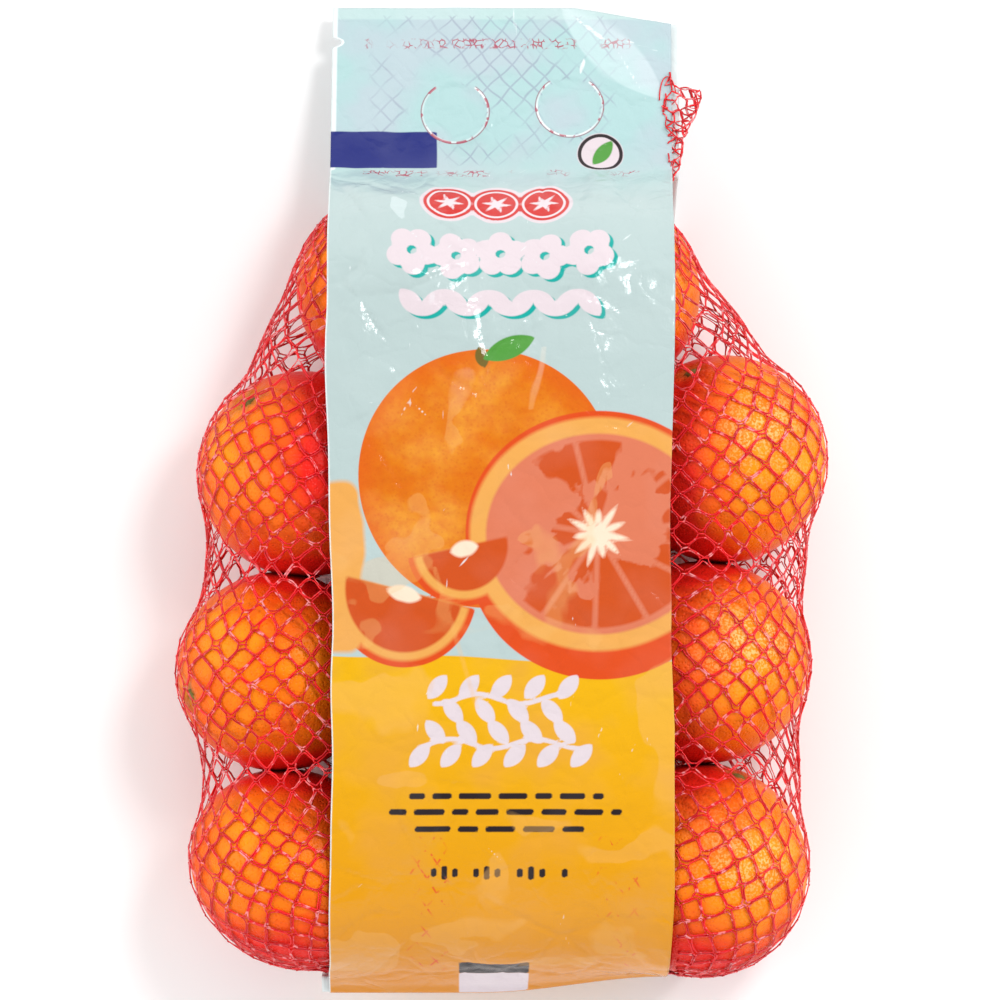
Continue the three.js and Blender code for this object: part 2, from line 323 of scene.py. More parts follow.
def gap_to_fruit(points, own):
    """About how far each point of one orange is from the nearest other one, in millimetres."""
    nearest = np.full(points.shape[:-1], np.inf)
    for middle, radii, across in FRUIT[:own] + FRUIT[own + 1 :]:
        local = ((points - middle) @ across.T) / radii
        nearest = np.minimum(nearest, (np.linalg.norm(local, axis=-1) - 1) * radii.mean())
    return nearest


# Meshes and materials


def new_object(name, mesh, material, node):
    """Puts a finished mesh in the scene as a piece of the bag that stands for one of its nodes."""
    piece = bpy.data.objects.new(name, mesh)
    bpy.context.scene.collection.objects.link(piece)
    mesh.materials.append(material)
    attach(piece, BODY)
    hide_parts(node)
    return piece


def mesh_of_quads(name, points, quads):
    """A smooth mesh from arrays of points and four-sided faces."""
    mesh = bpy.data.meshes.new(name)
    mesh.vertices.add(len(points))
    mesh.vertices.foreach_set("co", np.ascontiguousarray(points, np.float32).ravel())
    mesh.loops.add(quads.size)
    mesh.loops.foreach_set("vertex_index", np.ascontiguousarray(quads, np.int32).ravel())
    mesh.polygons.add(len(quads))
    mesh.polygons.foreach_set("loop_start", np.arange(len(quads), dtype=np.int32) * 4)
    mesh.update(calc_edges=True)
    mesh.shade_smooth()
    return mesh


def set_attribute(mesh, name, values):
    attribute = mesh.attributes.new(name, "FLOAT", "POINT")
    attribute.data.foreach_set("value", np.ascontiguousarray(values, np.float32).ravel())


def add_node(tree, kind, inputs=None, **settings):
    """Adds a shader node, sets its properties, and fills or links its inputs by name or number."""
    node = tree.nodes.new("ShaderNode" + kind)
    for key, value in settings.items():
        setattr(node, key, value)
    for key, value in (inputs or {}).items():
        if isinstance(value, bpy.types.NodeSocket):
            tree.links.new(value, node.inputs[key])
        else:
            node.inputs[key].default_value = colour(value) if isinstance(value, str) else value
    return node


def new_material(name):
    """A node material with nothing in it yet, and its tree."""
    material = bpy.data.materials.new(name)
    material.use_nodes = True
    tree = material.node_tree
    tree.nodes.clear()
    return material, tree


def finish_material(tree, settings):
    """Joins the surface, with its look from the settings, to the material's output."""
    surface = add_node(tree, "BsdfPrincipled", settings)
    add_node(tree, "OutputMaterial", {"Surface": surface.outputs[0]})


def painted(tree, under, over, *shares):
    """One colour laid over another, as strongly as all the shares together say."""
    share = shares[0]
    for other in shares[1:]:
        share = add_node(tree, "Math", {0: share, 1: other}, operation="MULTIPLY").outputs[0]
    return add_node(tree, "Mix", {0: share, 6: under, 7: over}, data_type="RGBA").outputs[2]


def amount(tree, source, low=0.0, high=1.0, to_low=0.0, to_high=1.0):
    """How strongly something shows: a value or a named attribute, brought from one range to another."""
    if isinstance(source, str):
        source = add_node(tree, "Attribute", attribute_name=source).outputs["Fac"]
    inputs = {"Value": source, "From Min": low, "From Max": high, "To Min": to_low, "To Max": to_high}
    return add_node(tree, "MapRange", inputs).outputs[0]


def orange_peel(colours):
    """Ripe orange peel, waxed and pitted by oil pores, with painted pale highlight flecks, painted shade in a
    deeper red and a painted dark contact shadow.
    """
    material, tree = new_material("waxed_orange_peel")
    place = add_node(tree, "TexCoord").outputs["Object"]
    pore_size, patch_size, mottle_size, speck_size = 1.15 * MM, 22 * MM, 4 * MM, 0.9 * MM
    pores = add_node(tree, "TexVoronoi", {"Vector": place, "Scale": 1 / pore_size, "Randomness": 0.85})
    pores = pores.outputs["Distance"]
    patches, mottle, speck = (
        add_node(tree, "TexNoise", {"Vector": place, "Scale": 1 / size, "Detail": detail}).outputs[0]
        for size, detail in ((patch_size, 2.0), (mottle_size, 4.0), (speck_size, 1.0))
    )
    skin = painted(tree, colours.peel, colours.peel_pale, amount(tree, patches, 0.35, 0.65))
    skin = painted(tree, skin, colours.peel_pale, amount(tree, mottle, 0.45, 0.7, 0.0, 0.5))
    skin = painted(tree, skin, colours.peel_deep, amount(tree, pores, 0.0, 0.35, 0.3, 0.0))
    # painted shade in a deeper red, with a little random reddening
    skin = painted(tree, skin, colours.peel_shade_red, amount(tree, "shade_and_blush"))
    # painted highlight: pale flecks where lit and the speck noise say
    painted_highlight = painted(tree, skin, "#FFD08C", amount(tree, "lit"))
    skin = painted(tree, skin, painted_highlight, amount(tree, speck, 0.48, 0.6))
    # painted contact shadow between touching oranges
    skin = painted(tree, skin, "#5A1410", amount(tree, "contact_shade"))
    skin = painted(tree, skin, colours.stem_green, amount(tree, "green"))
    relief = amount(tree, pores, 0.0, 0.5)
    pit = add_node(tree, "Bump", {"Height": relief, "Strength": 0.8, "Distance": 0.3 * MM}).outputs[0]
    wave = add_node(tree, "Bump", {"Height": mottle, "Strength": 0.5, "Distance": 0.5 * MM, "Normal": pit})
    finish_material(
        tree, {"Base Color": skin, "Roughness": 0.34, "Specular IOR Level": 0.13, "Normal": wave.outputs[0]}
    )
    return material


def stem_skin(colours):
    """Dry calyx: a dull green-brown scab where the stalk broke off."""
    material, tree = new_material("dry_calyx")
    place = add_node(tree, "TexCoord").outputs["Object"]
    grain = add_node(tree, "TexNoise", {"Vector": place, "Scale": 1 / (1.2 * MM), "Detail": 3.0}).outputs[0]
    skin = painted(tree, colours.stem_green, colours.stem_brown, grain)
    bump = add_node(tree, "Bump", {"Height": grain, "Strength": 0.8, "Distance": 0.3 * MM})
    finish_material(tree, {"Base Color": skin, "Roughness": 0.8, "Normal": bump.outputs[0]})
    return material


def net_filament(colours):
    """Drawn polyethylene filament, dyed red and glossy, with random pale pink spots that stand partly for
    whitening where it was stretched and partly for painted glints.
    """
    material, tree = new_material("red_polyethylene_filament")
    place = add_node(tree, "TexCoord").outputs["Object"]
    dyed = painted(tree, colours.net_deep, colours.net_red, amount(tree, "tone"))
    strain_and_glints = add_node(tree, "TexNoise", {"Vector": place, "Scale": 1 / (2.6 * MM), "Detail": 2.0}).outputs[0]
    # pale pink spots: partly stretch whitening, partly painted glints
    red = painted(tree, dyed, "#FFB0B4", amount(tree, strain_and_glints, 0.56, 0.67, 0.0, 0.6))
    finish_material(
        tree,
        {
            "Base Color": red,
            "Roughness": 0.3,
            "Specular IOR Level": 0.35,
            "Coat Weight": 0.12,
            "Coat Roughness": 0.1,
        },
    )
    return material


# Oranges


def lumps(directions, rng):
    """The slow unevenness of one orange, from -1 to 1, by direction from its middle."""
    total = np.zeros(len(directions))
    for _ in range(7):
        wave = unit(rng.normal(size=3)) * rng.uniform(1.8, 5.0)
        total += np.cos(directions @ wave + rng.uniform(0, 2 * math.pi)) / 7
    return total


def stem_axis(name, rng):
    if name in STEM_ENDS:
        return unit(np.array(STEM_ENDS[name]))
    x, y = rng.normal(size=2)
    return unit(np.array([0.5 * x, 0.5 * y, -1.0]))


def tint_orange(mesh, points, index, lean):
    """Gives every vertex of an orange its shares of painted shade with a little random reddening, painted
    contact shadow, painted highlight and stem green.
    """
    x, y, z = points.T
    middle, radii, _ = FRUIT[index]
    outward = unit((points - middle) / radii**2)
    on_left = x < 0
    # Painted shade in deeper red: beside the film strip, near other fruit, facing away from LIT_FROM and on
    # the undersides; only the noise patch is random reddening of the peel.
    beside_left = np.clip((94 + x) / 28, 0, 1) * np.interp(y, SHADE_BESIDE_FILM_LEVELS, SHADE_BESIDE_FILM_LEFT)
    beside_right = np.clip((86 - x) / 22, 0, 1) * np.interp(y, SHADE_BESIDE_FILM_LEVELS, SHADE_BESIDE_FILM_RIGHT)
    gap = gap_to_fruit(points, index)
    near_fruit = np.exp(-((gap / 11) ** 2)) * (0.8 + 0.3 * outward[:, 1])
    shaded = np.where(on_left, 0.48, 0.34) * smooth_step(0.3, 1.2, 1 - outward @ LIT_FROM)
    underside = 0.85 * smooth_step(-128, -160, y)
    patch = 0.12 * value_noise(x, y + z, 12, 31) - 0.06
    shade_and_blush = np.where(on_left, beside_left, beside_right) + 0.9 * near_fruit + shaded + underside + patch
    cloud = value_noise(x, y, 9, 33)
    # painted highlight: a cloudy spot round the point that faces the light, set as lit on the right-hand
    # fruit only
    highlight_spot = np.exp(-((np.arccos(np.clip(outward @ HIGHLIGHT_FROM, -1, 1)) / 0.42) ** 2))
    # painted contact shadow: dark where the peel nearly touches another orange
    set_attribute(mesh, "contact_shade", 0.8 * np.exp(-((np.maximum(gap, 0) / 1.6) ** 2)))
    set_attribute(mesh, "shade_and_blush", np.clip(shade_and_blush, 0, 0.96))
    set_attribute(mesh, "lit", np.clip(highlight_spot * (0.55 + 0.45 * cloud), 0, 0.6) * smooth_step(-40, 40, x))
    set_attribute(mesh, "green", 0.6 * np.exp(-((lean / 0.16) ** 2)))


def orange_mesh(name, index, fineness):
    """One orange: uneven, dimpled round its stem end and pulled in a little at the other."""
    rng = np.random.default_rng(100 + index)
    shape = bmesh.new()
    bmesh.ops.create_icosphere(shape, subdivisions=fineness, radius=1.0)
    mesh = bpy.data.meshes.new("orange_" + name)
    shape.to_mesh(mesh)
    shape.free()
    directions = np.empty(len(mesh.vertices) * 3)
    mesh.vertices.foreach_get("co", directions)
    directions = unit(directions.reshape(-1, 3))
    middle, radii, across = FRUIT[index]
    axis = stem_axis(name, rng)
    local_axis = across @ axis
    side = unit(np.cross(local_axis, (0.3, 0.5, 0.8)))
    other = np.cross(local_axis, side)
    lean = np.arccos(np.clip(directions @ local_axis, -1, 1))
    round_stem = np.arctan2(directions @ other, directions @ side)
    depth = UNEVENNESS * (lumps(directions, rng) - 0.6)
    depth -= DIMPLE_DEPTH * np.exp(-((lean / 0.12) ** 2))
    depth -= 0.3 * np.exp(-((lean / 0.3) ** 2)) * (1 + np.cos(7 * round_stem + 1))
    depth -= 0.9 * np.exp(-(((math.pi - lean) / 0.1) ** 2))
    points = directions * (radii + depth[:, None])
    points = points @ across + middle
    mesh.vertices.foreach_set("co", to_frame(points).astype(np.float32).ravel())
    mesh.update()
    mesh.shade_smooth()
    tint_orange(mesh, points, index, lean)
    return mesh, middle, axis, float(radii.mean())


def add_calyx(shape, centre, axis, rng):
    """A small five-lobed button with a broken stalk, set into the stem dimple."""
    turn = Vector(axis).to_track_quat("Z", "Y").to_matrix().to_4x4()
    place = Matrix.Translation(Vector(to_frame(centre))) @ turn
    made = bmesh.ops.create_cone(
        shape, cap_ends=True, segments=20, radius1=3.1 * MM, radius2=1.3 * MM, depth=1.1 * MM, matrix=place
    )
    back = place.inverted()
    for vertex in made["verts"]:
        local = back @ vertex.co
        angle = math.atan2(local.y, local.x)
        lobe = 1 + 0.22 * math.cos(5 * angle) + 0.12 * rng.uniform(-1, 1)
        vertex.co = place @ Vector((local.x * lobe, local.y * lobe, local.z))


def length_setting(label, description, millimetres):
    return bpy.props.FloatProperty(
        name=label, description=description, default=millimetres * MM, unit="LENGTH"
    )


def count_setting(label, description, default, low, high):
    return bpy.props.IntProperty(name=label, description=description, default=default, min=low, max=high)


def swatch(label, description, code):
    return bpy.props.FloatVectorProperty(
        name=label, description=description, default=colour(code), subtype="COLOR", size=4, min=0, max=1
    )


class NetBagSizes(bpy.types.PropertyGroup):
    """Sizes that change the look of the bag."""

    filament_width: length_setting("Filament width", "Width of one net filament", 0.63)
    filament_thickness: length_setting("Filament thickness", "Thickness of one net filament", 0.4)
    cells_round: count_setting("Cells round", "Net cells round the bag", 56, 20, 90)
    cell_rows: count_setting("Half rows", "Half cells along the bag", 70, 20, 120)
    film_grid: length_setting("Film grid", "Spacing of the film's vertices", 1.0)
    film_thickness: length_setting("Film thickness", "Thickness of a film strip", 0.12)


class NetBagColours(bpy.types.PropertyGroup):
    """Colours of the bag and its fruit."""

    peel: swatch("Peel", "Main colour of the peel", "#F87006")
    peel_pale: swatch("Pale peel", "Yellower parts of the peel", "#FA930C")
    peel_deep: swatch("Deep peel", "Bottoms of the pores", "#EE5206")
    # the deeper red of the peel's painted shade
    peel_shade_red: swatch("Blush", "Redder peel of the shaded side", "#E6181A")
    stem_green: swatch("Stem green", "Peel round the stem", "#8C8A35")
    stem_brown: swatch("Stem brown", "Dry calyx", "#5B4427")
    net_red: swatch("Net red", "Main colour of the net's filaments", "#F0181F")
    net_deep: swatch("Deep net red", "Duller filaments", "#C20A1C")
    aqua: swatch("Aqua", "Film print behind the fruit picture", "#AABBBA")
    yellow: swatch("Yellow", "Film print below the fruit picture", "#DAA408")
    floor: swatch("Floor", "The floor of the stage", "#FAFAFA")


class NETBAG_OT_add_oranges(bpy.types.Operator):
    """Add the eleven oranges and their calyxes"""

    bl_idname = "netbag.add_oranges"
    bl_label = "Add oranges"

    def execute(self, context):
        colours = context.scene.net_bag_colours
        peel = orange_peel(colours)
        calyxes = bmesh.new()
        rng = np.random.default_rng(77)
        for index, name in enumerate(ORANGES):
            fineness = 5 if name.endswith("middle") else 6
            mesh, middle, axis, radius = orange_mesh(name, index, fineness)
            new_object("orange_" + name, mesh, peel, "net_and_oranges")
            add_calyx(calyxes, middle + axis * (radius - 1.35), axis, rng)
        mesh = bpy.data.meshes.new("calyxes")
        calyxes.to_mesh(mesh)
        calyxes.free()
        mesh.shade_smooth()
        new_object("calyxes", mesh, stem_skin(colours), "net_and_oranges")
        return {"FINISHED"}


# The film strips' course


def bezier(a, b, c, d, count=40):
    t = np.linspace(0, 1, count)[:, None]
    a, b, c, d = (np.array(p, float) for p in (a, b, c, d))
    return a * (1 - t) ** 3 + 3 * b * t * (1 - t) ** 2 + 3 * c * t * t * (1 - t) + d * t**3


def even_path(pieces, spacing):
    """Joined pieces of a path as points the same distance apart."""
    points = np.concatenate(pieces)
    keep = np.append(True, np.linalg.norm(np.diff(points, axis=0), axis=1) > 1e-6)
    points = points[keep]
    run = np.append(0, np.cumsum(np.linalg.norm(np.diff(points, axis=0), axis=1)))
    steps = np.linspace(0, run[-1], round(run[-1] / spacing) + 1)
    return np.stack([np.interp(steps, run, points[:, k]) for k in range(2)], -1), steps


def front_path(spacing):
    top, foot = (72.0, FILM_TOP), (-124.0, FILM_TOP)
    return even_path(
        [
            np.linspace(HEADER_TOP, WELD, 30),
            bezier(WELD, (WELD[0] - 2, WELD[1] + 21), (top[0] + 26, FILM_TOP), top),
            np.linspace(top, foot, 60),
            bezier(foot, (foot[0] - 26, FILM_TOP), (FOOT[0] + 0.4, FOOT[1] + 21), FOOT),
            bezier(FOOT, (FOOT[0] - 0.2, FOOT[1] - 4), (FOOT[0] - 1.8, FOOT[1] - 7), FIN_END, 12),
        ],
        spacing,
    )


def back_path(spacing):
    slope = math.atan2(HEADER_TOP[1] - WELD[1], HEADER_TOP[0] - WELD[0])
    back = np.array([2 * LAYER_STEP * math.sin(slope), -2 * LAYER_STEP * math.cos(slope)])
    fin = 0.53
    ground = GROUND_LAYER
    top, weld = np.array(HEADER_TOP) + back, np.array(WELD) + back
    return even_path(
        [
            np.linspace(top, weld, 30),
            bezier(weld, (WELD[0] - 3, 14), (98, ground), (80, ground)),
            np.linspace((80, ground), (-134, ground), 60),
            bezier((-134, ground), (-152, ground), (FOOT[0] + 0.8, 12), (FOOT[0] + 0.8, FOOT[1] - 7)),
            np.linspace((FOOT[0] + 0.8, FOOT[1] - 7), (FIN_END[0] + fin, FIN_END[1] - fin), 8),
        ],
        spacing,
    )


def resampled(grid, count, axis):
    """A grid of values with smooth in-between rows, on smooth cubic curves through its rows."""
    grid = np.moveaxis(grid, axis, 0)
    last = len(grid) - 1
    t = np.linspace(0, last, count)
    k = np.clip(np.floor(t).astype(int), 0, last - 1)
    f = (t - k).reshape((-1,) + (1,) * (grid.ndim - 1))
    a, b, c, d = (grid[np.clip(k + n, 0, last)] for n in (-1, 0, 1, 2))
    fine = b + 0.5 * f * (c - a + f * (2 * a - 5 * b + 4 * c - d + f * (3 * (b - c) + d - a)))
    return np.moveaxis(fine, 0, axis)


def draped(path, columns, rounds, held):
    """A film strip as an array (rows, columns, 3) that lies over the fruit, drawn tight lengthwise.

    held says which rows of the path stay put. Each point keeps its x.
    """
    x = np.linspace(-FILM_HALF, FILM_HALF, columns)
    grid = np.empty((len(path), columns, 3))
    grid[..., 0] = x
    grid[..., 1:] = path[:, None]
    grid[..., 1] += foot_rise(grid[..., 0], grid[..., 1])
    free = ~held
    for _ in range(rounds):
        along = (np.roll(grid, 1, axis=0) + np.roll(grid, -1, axis=0)) / 2
        sides = np.concatenate([grid[:, :1], grid, grid[:, -1:]], axis=1)
        level = (sides[:, :-2] + sides[:, 2:]) / 2
        target = 0.35 * along + 0.65 * level
        grid[free, :, 1:] = target[free, :, 1:]
        lifted = pushed_out_in_plane(grid.reshape(-1, 3), 1.5).reshape(grid.shape)
        grid[free] = lifted[free]
    return grid


def foot_rise(x, y):
    """How much further up the strip's foot is held towards its right end."""
    share = 0.5 * smooth_step(-135, -160, y) + 0.5 * smooth_step(-162.5, -168, y)
    return FOOT_RISE * smooth_step(-5, FILM_HALF, x) * share


@functools.cache
def front_course():
    """The front strip's smooth course, with its rows' distance down the strip."""
    coarse, run = front_path(COARSE_STEP)
    held = (coarse[:, 0] > WELD[0] - 1) | (np.arange(len(coarse)) > len(coarse) - 5)
    grid = draped(coarse, COURSE_COLUMNS, DRAPE_ROUNDS[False], held)
    at_weld = 0.5 * np.exp(-(((run[1:-1] - HEADER_LENGTH - 2) / WELD_BEND) ** 2))[:, None, None]
    for _ in range(WELD_SMOOTHINGS):
        grid[1:-1] += at_weld * ((grid[:-2] + grid[2:]) / 2 - grid[1:-1])
    return grid, run


def kept_under_film(points, clearance):
    """The points, with those that would reach through the front strip's face moved down under it."""
    grid, _ = front_course()
    x, y = points[:, 0], points[:, 1]
    y_rows = grid[:, 0, 1]
    order = np.argsort(y_rows)
    column = np.clip((x / FILM_HALF + 1) / 2 * (COURSE_COLUMNS - 1), 0, COURSE_COLUMNS - 1)
    level_y = y - foot_rise(x, y - foot_rise(x, y))
    row = np.interp(level_y, y_rows[order], order.astype(float))
    r, c = np.clip(row.astype(int), 0, len(grid) - 2), np.clip(column.astype(int), 0, COURSE_COLUMNS - 2)
    fr, fc = row - r, column - c
    z = grid[..., 2]
    left = z[r, c] * (1 - fr) + z[r + 1, c] * fr
    right = z[r, c + 1] * (1 - fr) + z[r + 1, c + 1] * fr
    drop = (z[r, c] - z[r + 1, c]) / np.minimum(grid[r + 1, c, 1] - grid[r, c, 1], -0.05)
    steep = np.minimum(np.abs(drop), 4)
    limit = left * (1 - fc) + right * fc - clearance * np.sqrt(1 + steep**2)
    points = points.copy()
    over = (np.abs(x) < FILM_HALF + 0.5) & (points[:, 2] > NET_MIDDLE_LEVEL - 2) & (points[:, 2] > limit)
    points[over, 2] = limit[over]
    return points


# Net


def relaxed_net(around, rows, rounds):
    """The net's knots as an array (rows + 1, around, 3), pulled tight over the fruit.

    Every strand between two knots is a spring, the first and last rows are held in the seams, and
    each strand's own slack makes the cells uneven.
    """
    rng = np.random.default_rng(5)
    row = np.arange(rows + 1)[:, None]
    turn = 2 * math.pi * ((np.arange(around)[None, :] + 0.5 * (row % 2)) / around)
    fraction = row / rows
    swell = np.sin(math.pi * np.clip(fraction, 0, 1)) ** 0.15
    x = np.cos(turn) * (NET_NECK[0] + (116 - NET_NECK[0]) * swell)
    y = NET_NECK[1] + (NET_FOOT[1] - NET_NECK[1]) * fraction + 0 * turn
    level = NET_NECK[2] + (NET_FOOT[2] - NET_NECK[2]) * fraction
    z = level + np.sign(np.sin(turn)) * np.abs(np.sin(turn)) ** 0.5 * 40 * swell
    knots = np.stack([x, y, z], -1)
    for end, (half, end_y, end_z) in ((0, NET_NECK), (-1, NET_FOOT)):
        share = np.abs(((turn[end] / math.pi) % 2) - 1)
        knots[end] = np.stack(
            [half * (2 * share - 1), np.full(around, end_y), end_z + 0.25 * np.sign(np.sin(turn[end]))], -1
        )
    knots[-1, :, 1] += foot_rise(knots[-1, :, 0], knots[-1, :, 1])
    step = np.where(row[:-1] % 2 == 0, -1, 1)
    across = (np.arange(around)[None, :] + step) % around
    back = (np.arange(around)[None, :] - step) % around
    rest = [NET_SLACK * (1 + 0.36 * rng.normal(size=(rows, around, 1))) for _ in range(2)]
    speed = np.zeros_like(knots)
    for _ in range(rounds):
        straight = knots[1:] - knots[:-1]
        slanted = np.take_along_axis(knots[1:], across[..., None], axis=1) - knots[:-1]
        pull = np.zeros_like(knots)
        for strand, slack, slant in ((straight, rest[0], False), (slanted, rest[1], True)):
            length = np.linalg.norm(strand, axis=-1, keepdims=True)
            force = strand * (1 - slack / np.maximum(length, 0.5))
            pull[:-1] += force
            pull[1:] -= np.take_along_axis(force, back[..., None], axis=1) if slant else force
        speed = 0.9 * speed + 0.1 * pull
        knots[1:-1] += speed[1:-1]
        moved = pushed_out(knots.reshape(-1, 3), 0.5, 0.6).reshape(knots.shape)
        knots[1:-1] = moved[1:-1]
    return knots


def stood_off(knots):
    """The knots, with the sides of the waists moved out to where the stiff net stands."""
    knots = knots.copy()
    for side, y, reach, length in NET_STANDS_OFF:
        outer = smooth_step(58, 72, side * knots[..., 0])
        knots[..., 0] += side * reach * outer * np.exp(-(((knots[..., 1] - y) / length) ** 2))
    return knots


def net_strands(knots):
    """Every strand as the knots at its two ends and the sides it leaves and enters them by."""
    rows, around = knots.shape[0] - 1, knots.shape[1]
    index = np.arange((rows + 1) * around).reshape(rows + 1, around)
    step = np.where(np.arange(rows)[:, None] % 2 == 0, -1, 1)
    across = (np.arange(around)[None, :] + step) % around
    straight = np.stack([index[:-1], index[1:]], -1)
    slanted = np.stack([index[:-1], np.take_along_axis(index[1:], across, axis=1)], -1)
    leans_right = np.where(np.arange(rows)[:, None] % 2 == 0, 1, -1) + np.zeros((rows, around), int)
    return np.concatenate([straight.reshape(-1, 2), slanted.reshape(-1, 2)]), np.concatenate(
        [leans_right.reshape(-1), -leans_right.reshape(-1)]
    )


def ribbons(lines, normals, half_width, half_thick, rng):
    """Closed filaments, lens-shaped across, along many polylines at once: points and quads.

    Each lies flat on the surface that the normals belong to, with some twist of its own.
    """
    count, steps = lines.shape[:2]
    tangent = unit(np.gradient(lines, axis=1))
    side = unit(np.cross(normals, tangent))
    up = np.cross(tangent, side)
    twist = rng.normal(0, 0.45, (count, 1)) + rng.normal(0, 0.3, (count, 1)) * np.linspace(-1, 1, steps)
    cos, sin = np.cos(twist)[..., None], np.sin(twist)[..., None]
    side, up = side * cos + up * sin, up * cos - side * sin
    corners = [side * half_width, up * half_thick, -side * half_width, -up * half_thick]
    points = lines[:, :, None] + np.stack(corners, 2)
    start = (np.arange(count) * steps * 4)[:, None, None]
    along = np.arange(steps - 1)[None, :, None] * 4
    here, there = np.arange(4), (np.arange(4) + 1) % 4
    low, high = start + along + here, start + along + there
    walls = np.stack([low, high, high + 4, low + 4], -1).reshape(-1, 4)
    first = (np.arange(count) * steps * 4)[:, None] + np.array([3, 2, 1, 0])
    last = first[:, ::-1] + (steps - 1) * 4
    return points.reshape(-1, 3), np.concatenate([walls, first, last])


def surface_frame(knots):
    """At each knot, unit vectors across the net, down it and out of it, and the local cell width."""
    right = np.roll(knots, -1, axis=1) - np.roll(knots, 1, axis=1)
    width = np.linalg.norm(right, axis=-1) / 2
    mean = (knots + np.roll(knots, 1, axis=1) + np.roll(knots, -1, axis=1)) / 3
    down = np.gradient(mean, axis=0)
    right, down = unit(right), unit(down)
    out = unit(np.cross(right, down))
    centre = np.array([0, 0, NET_MIDDLE_LEVEL])
    reach = (knots - centre) * (1, 0.3, 1)
    out *= np.sign((out * reach).sum(-1, keepdims=True))
    return right, unit(np.cross(out, right)), out, width


def filament_lines(knots, rng):
    """The visible net's filaments as polylines with their surface normals: two along each strand,
    which part at the knots, and one across each knot."""
    right, down, out, width = surface_frame(knots)
    right, down, out, width = right.reshape(-1, 3), down.reshape(-1, 3), out.reshape(-1, 3), width.ravel()
    flat = knots.reshape(-1, 3)
    strands, leans = net_strands(knots)
    count = len(flat)
    spread = np.clip(0.11 * width, 0.3, 1.2) * rng.uniform(0.4, 1.5, count)
    rise = np.clip(0.09 * width, 0.3, 0.9) * rng.uniform(0.4, 1.5, count)
    corner = {
        "right": right * spread[:, None],
        "left": -right * spread[:, None],
        "below": down * rise[:, None],
        "above": -down * rise[:, None],
    }
    for key in corner:
        shift = 0.16 * rng.normal(size=(2, count, 1))
        corner[key] = corner[key] + shift[0] * right + shift[1] * down
    start, end = strands[:, 0], strands[:, 1]
    to_right = leans[:, None] > 0
    outer = np.where(to_right, corner["right"][start], corner["left"][start]), corner["above"][end]
    inner = corner["below"][start], np.where(to_right, corner["left"][end], corner["right"][end])
    t = np.array([0, 0.12, 0.28, 0.5, 0.72, 0.88, 1.0])[None, :, None]
    leave = np.clip(1 - t / 0.34, 0, 1) ** 1.5
    arrive = np.clip(1 - (1 - t) / 0.34, 0, 1) ** 1.5
    line = flat[start][:, None] * (1 - t) + flat[end][:, None] * t
    normal = unit(out[start][:, None] * (1 - t) + out[end][:, None] * t)
    along = unit(flat[end] - flat[start])[:, None]
    side = np.cross(normal, along)
    bow = rng.normal(size=(len(start), 1, 1)) * 0.3 * np.sin(math.pi * t)
    lines = []
    for sign, (leaving, arriving) in ((1, outer), (-1, inner)):
        sense = np.where(to_right, sign, -sign)[:, None] * -1.0
        pinch = rng.uniform(0.12, 0.4, (len(start), 1, 1)) * sense
        wave = rng.normal(size=(len(start), t.shape[1], 1)) * 0.07
        offset = side * ((pinch + wave) * (1 - leave) * (1 - arrive) + bow)
        offset = offset + normal * (0.1 * sign)
        lines.append(line + leaving[:, None] * leave + arriving[:, None] * arrive + offset)
    s = np.linspace(0, 1, 4)[None, :, None]
    bend = down[:, None] * rng.normal(size=(count, 1, 1)) * 0.4 * np.sin(math.pi * s) + out[:, None] * 0.2
    knot_lines = flat[:, None] + corner["left"][:, None] * (1 - s) + corner["right"][:, None] * s + bend
    return np.concatenate(lines), np.concatenate([normal, normal]), knot_lines, out[:, None] + 0 * knot_lines


def settled(lines, clearance):
    """Polylines lifted off the fruit and the ground wherever they would cut in, and under the film."""
    flat = pushed_out(lines.reshape(-1, 3), clearance, clearance)
    return kept_under_film(flat, 0.8).reshape(lines.shape)


def net_piece(name, parts, material, node="net_and_oranges"):
    """One mesh from batches of (lines, normals, half width, half thickness), each line with a tone."""
    rng = np.random.default_rng(len(name))
    points, quads, tones, base = [], [], [], 0
    for lines, normals, half_width, half_thick in parts:
        p, q = ribbons(lines, normals, half_width, half_thick, rng)
        points.append(p)
        quads.append(q + base)
        tones.append(np.repeat(rng.uniform(0, 1, len(lines)), lines.shape[1] * 4))
        base += len(p)
    mesh = mesh_of_quads(name, to_frame(np.concatenate(points)), np.concatenate(quads))
    set_attribute(mesh, "tone", np.concatenate(tones))
    return new_object(name, mesh, material, node)


def under_film(points):
    """True where a strip of film hides the net."""
    return (np.abs(points[:, 0]) < FILM_HALF - 3) & (points[:, 1] > -170)


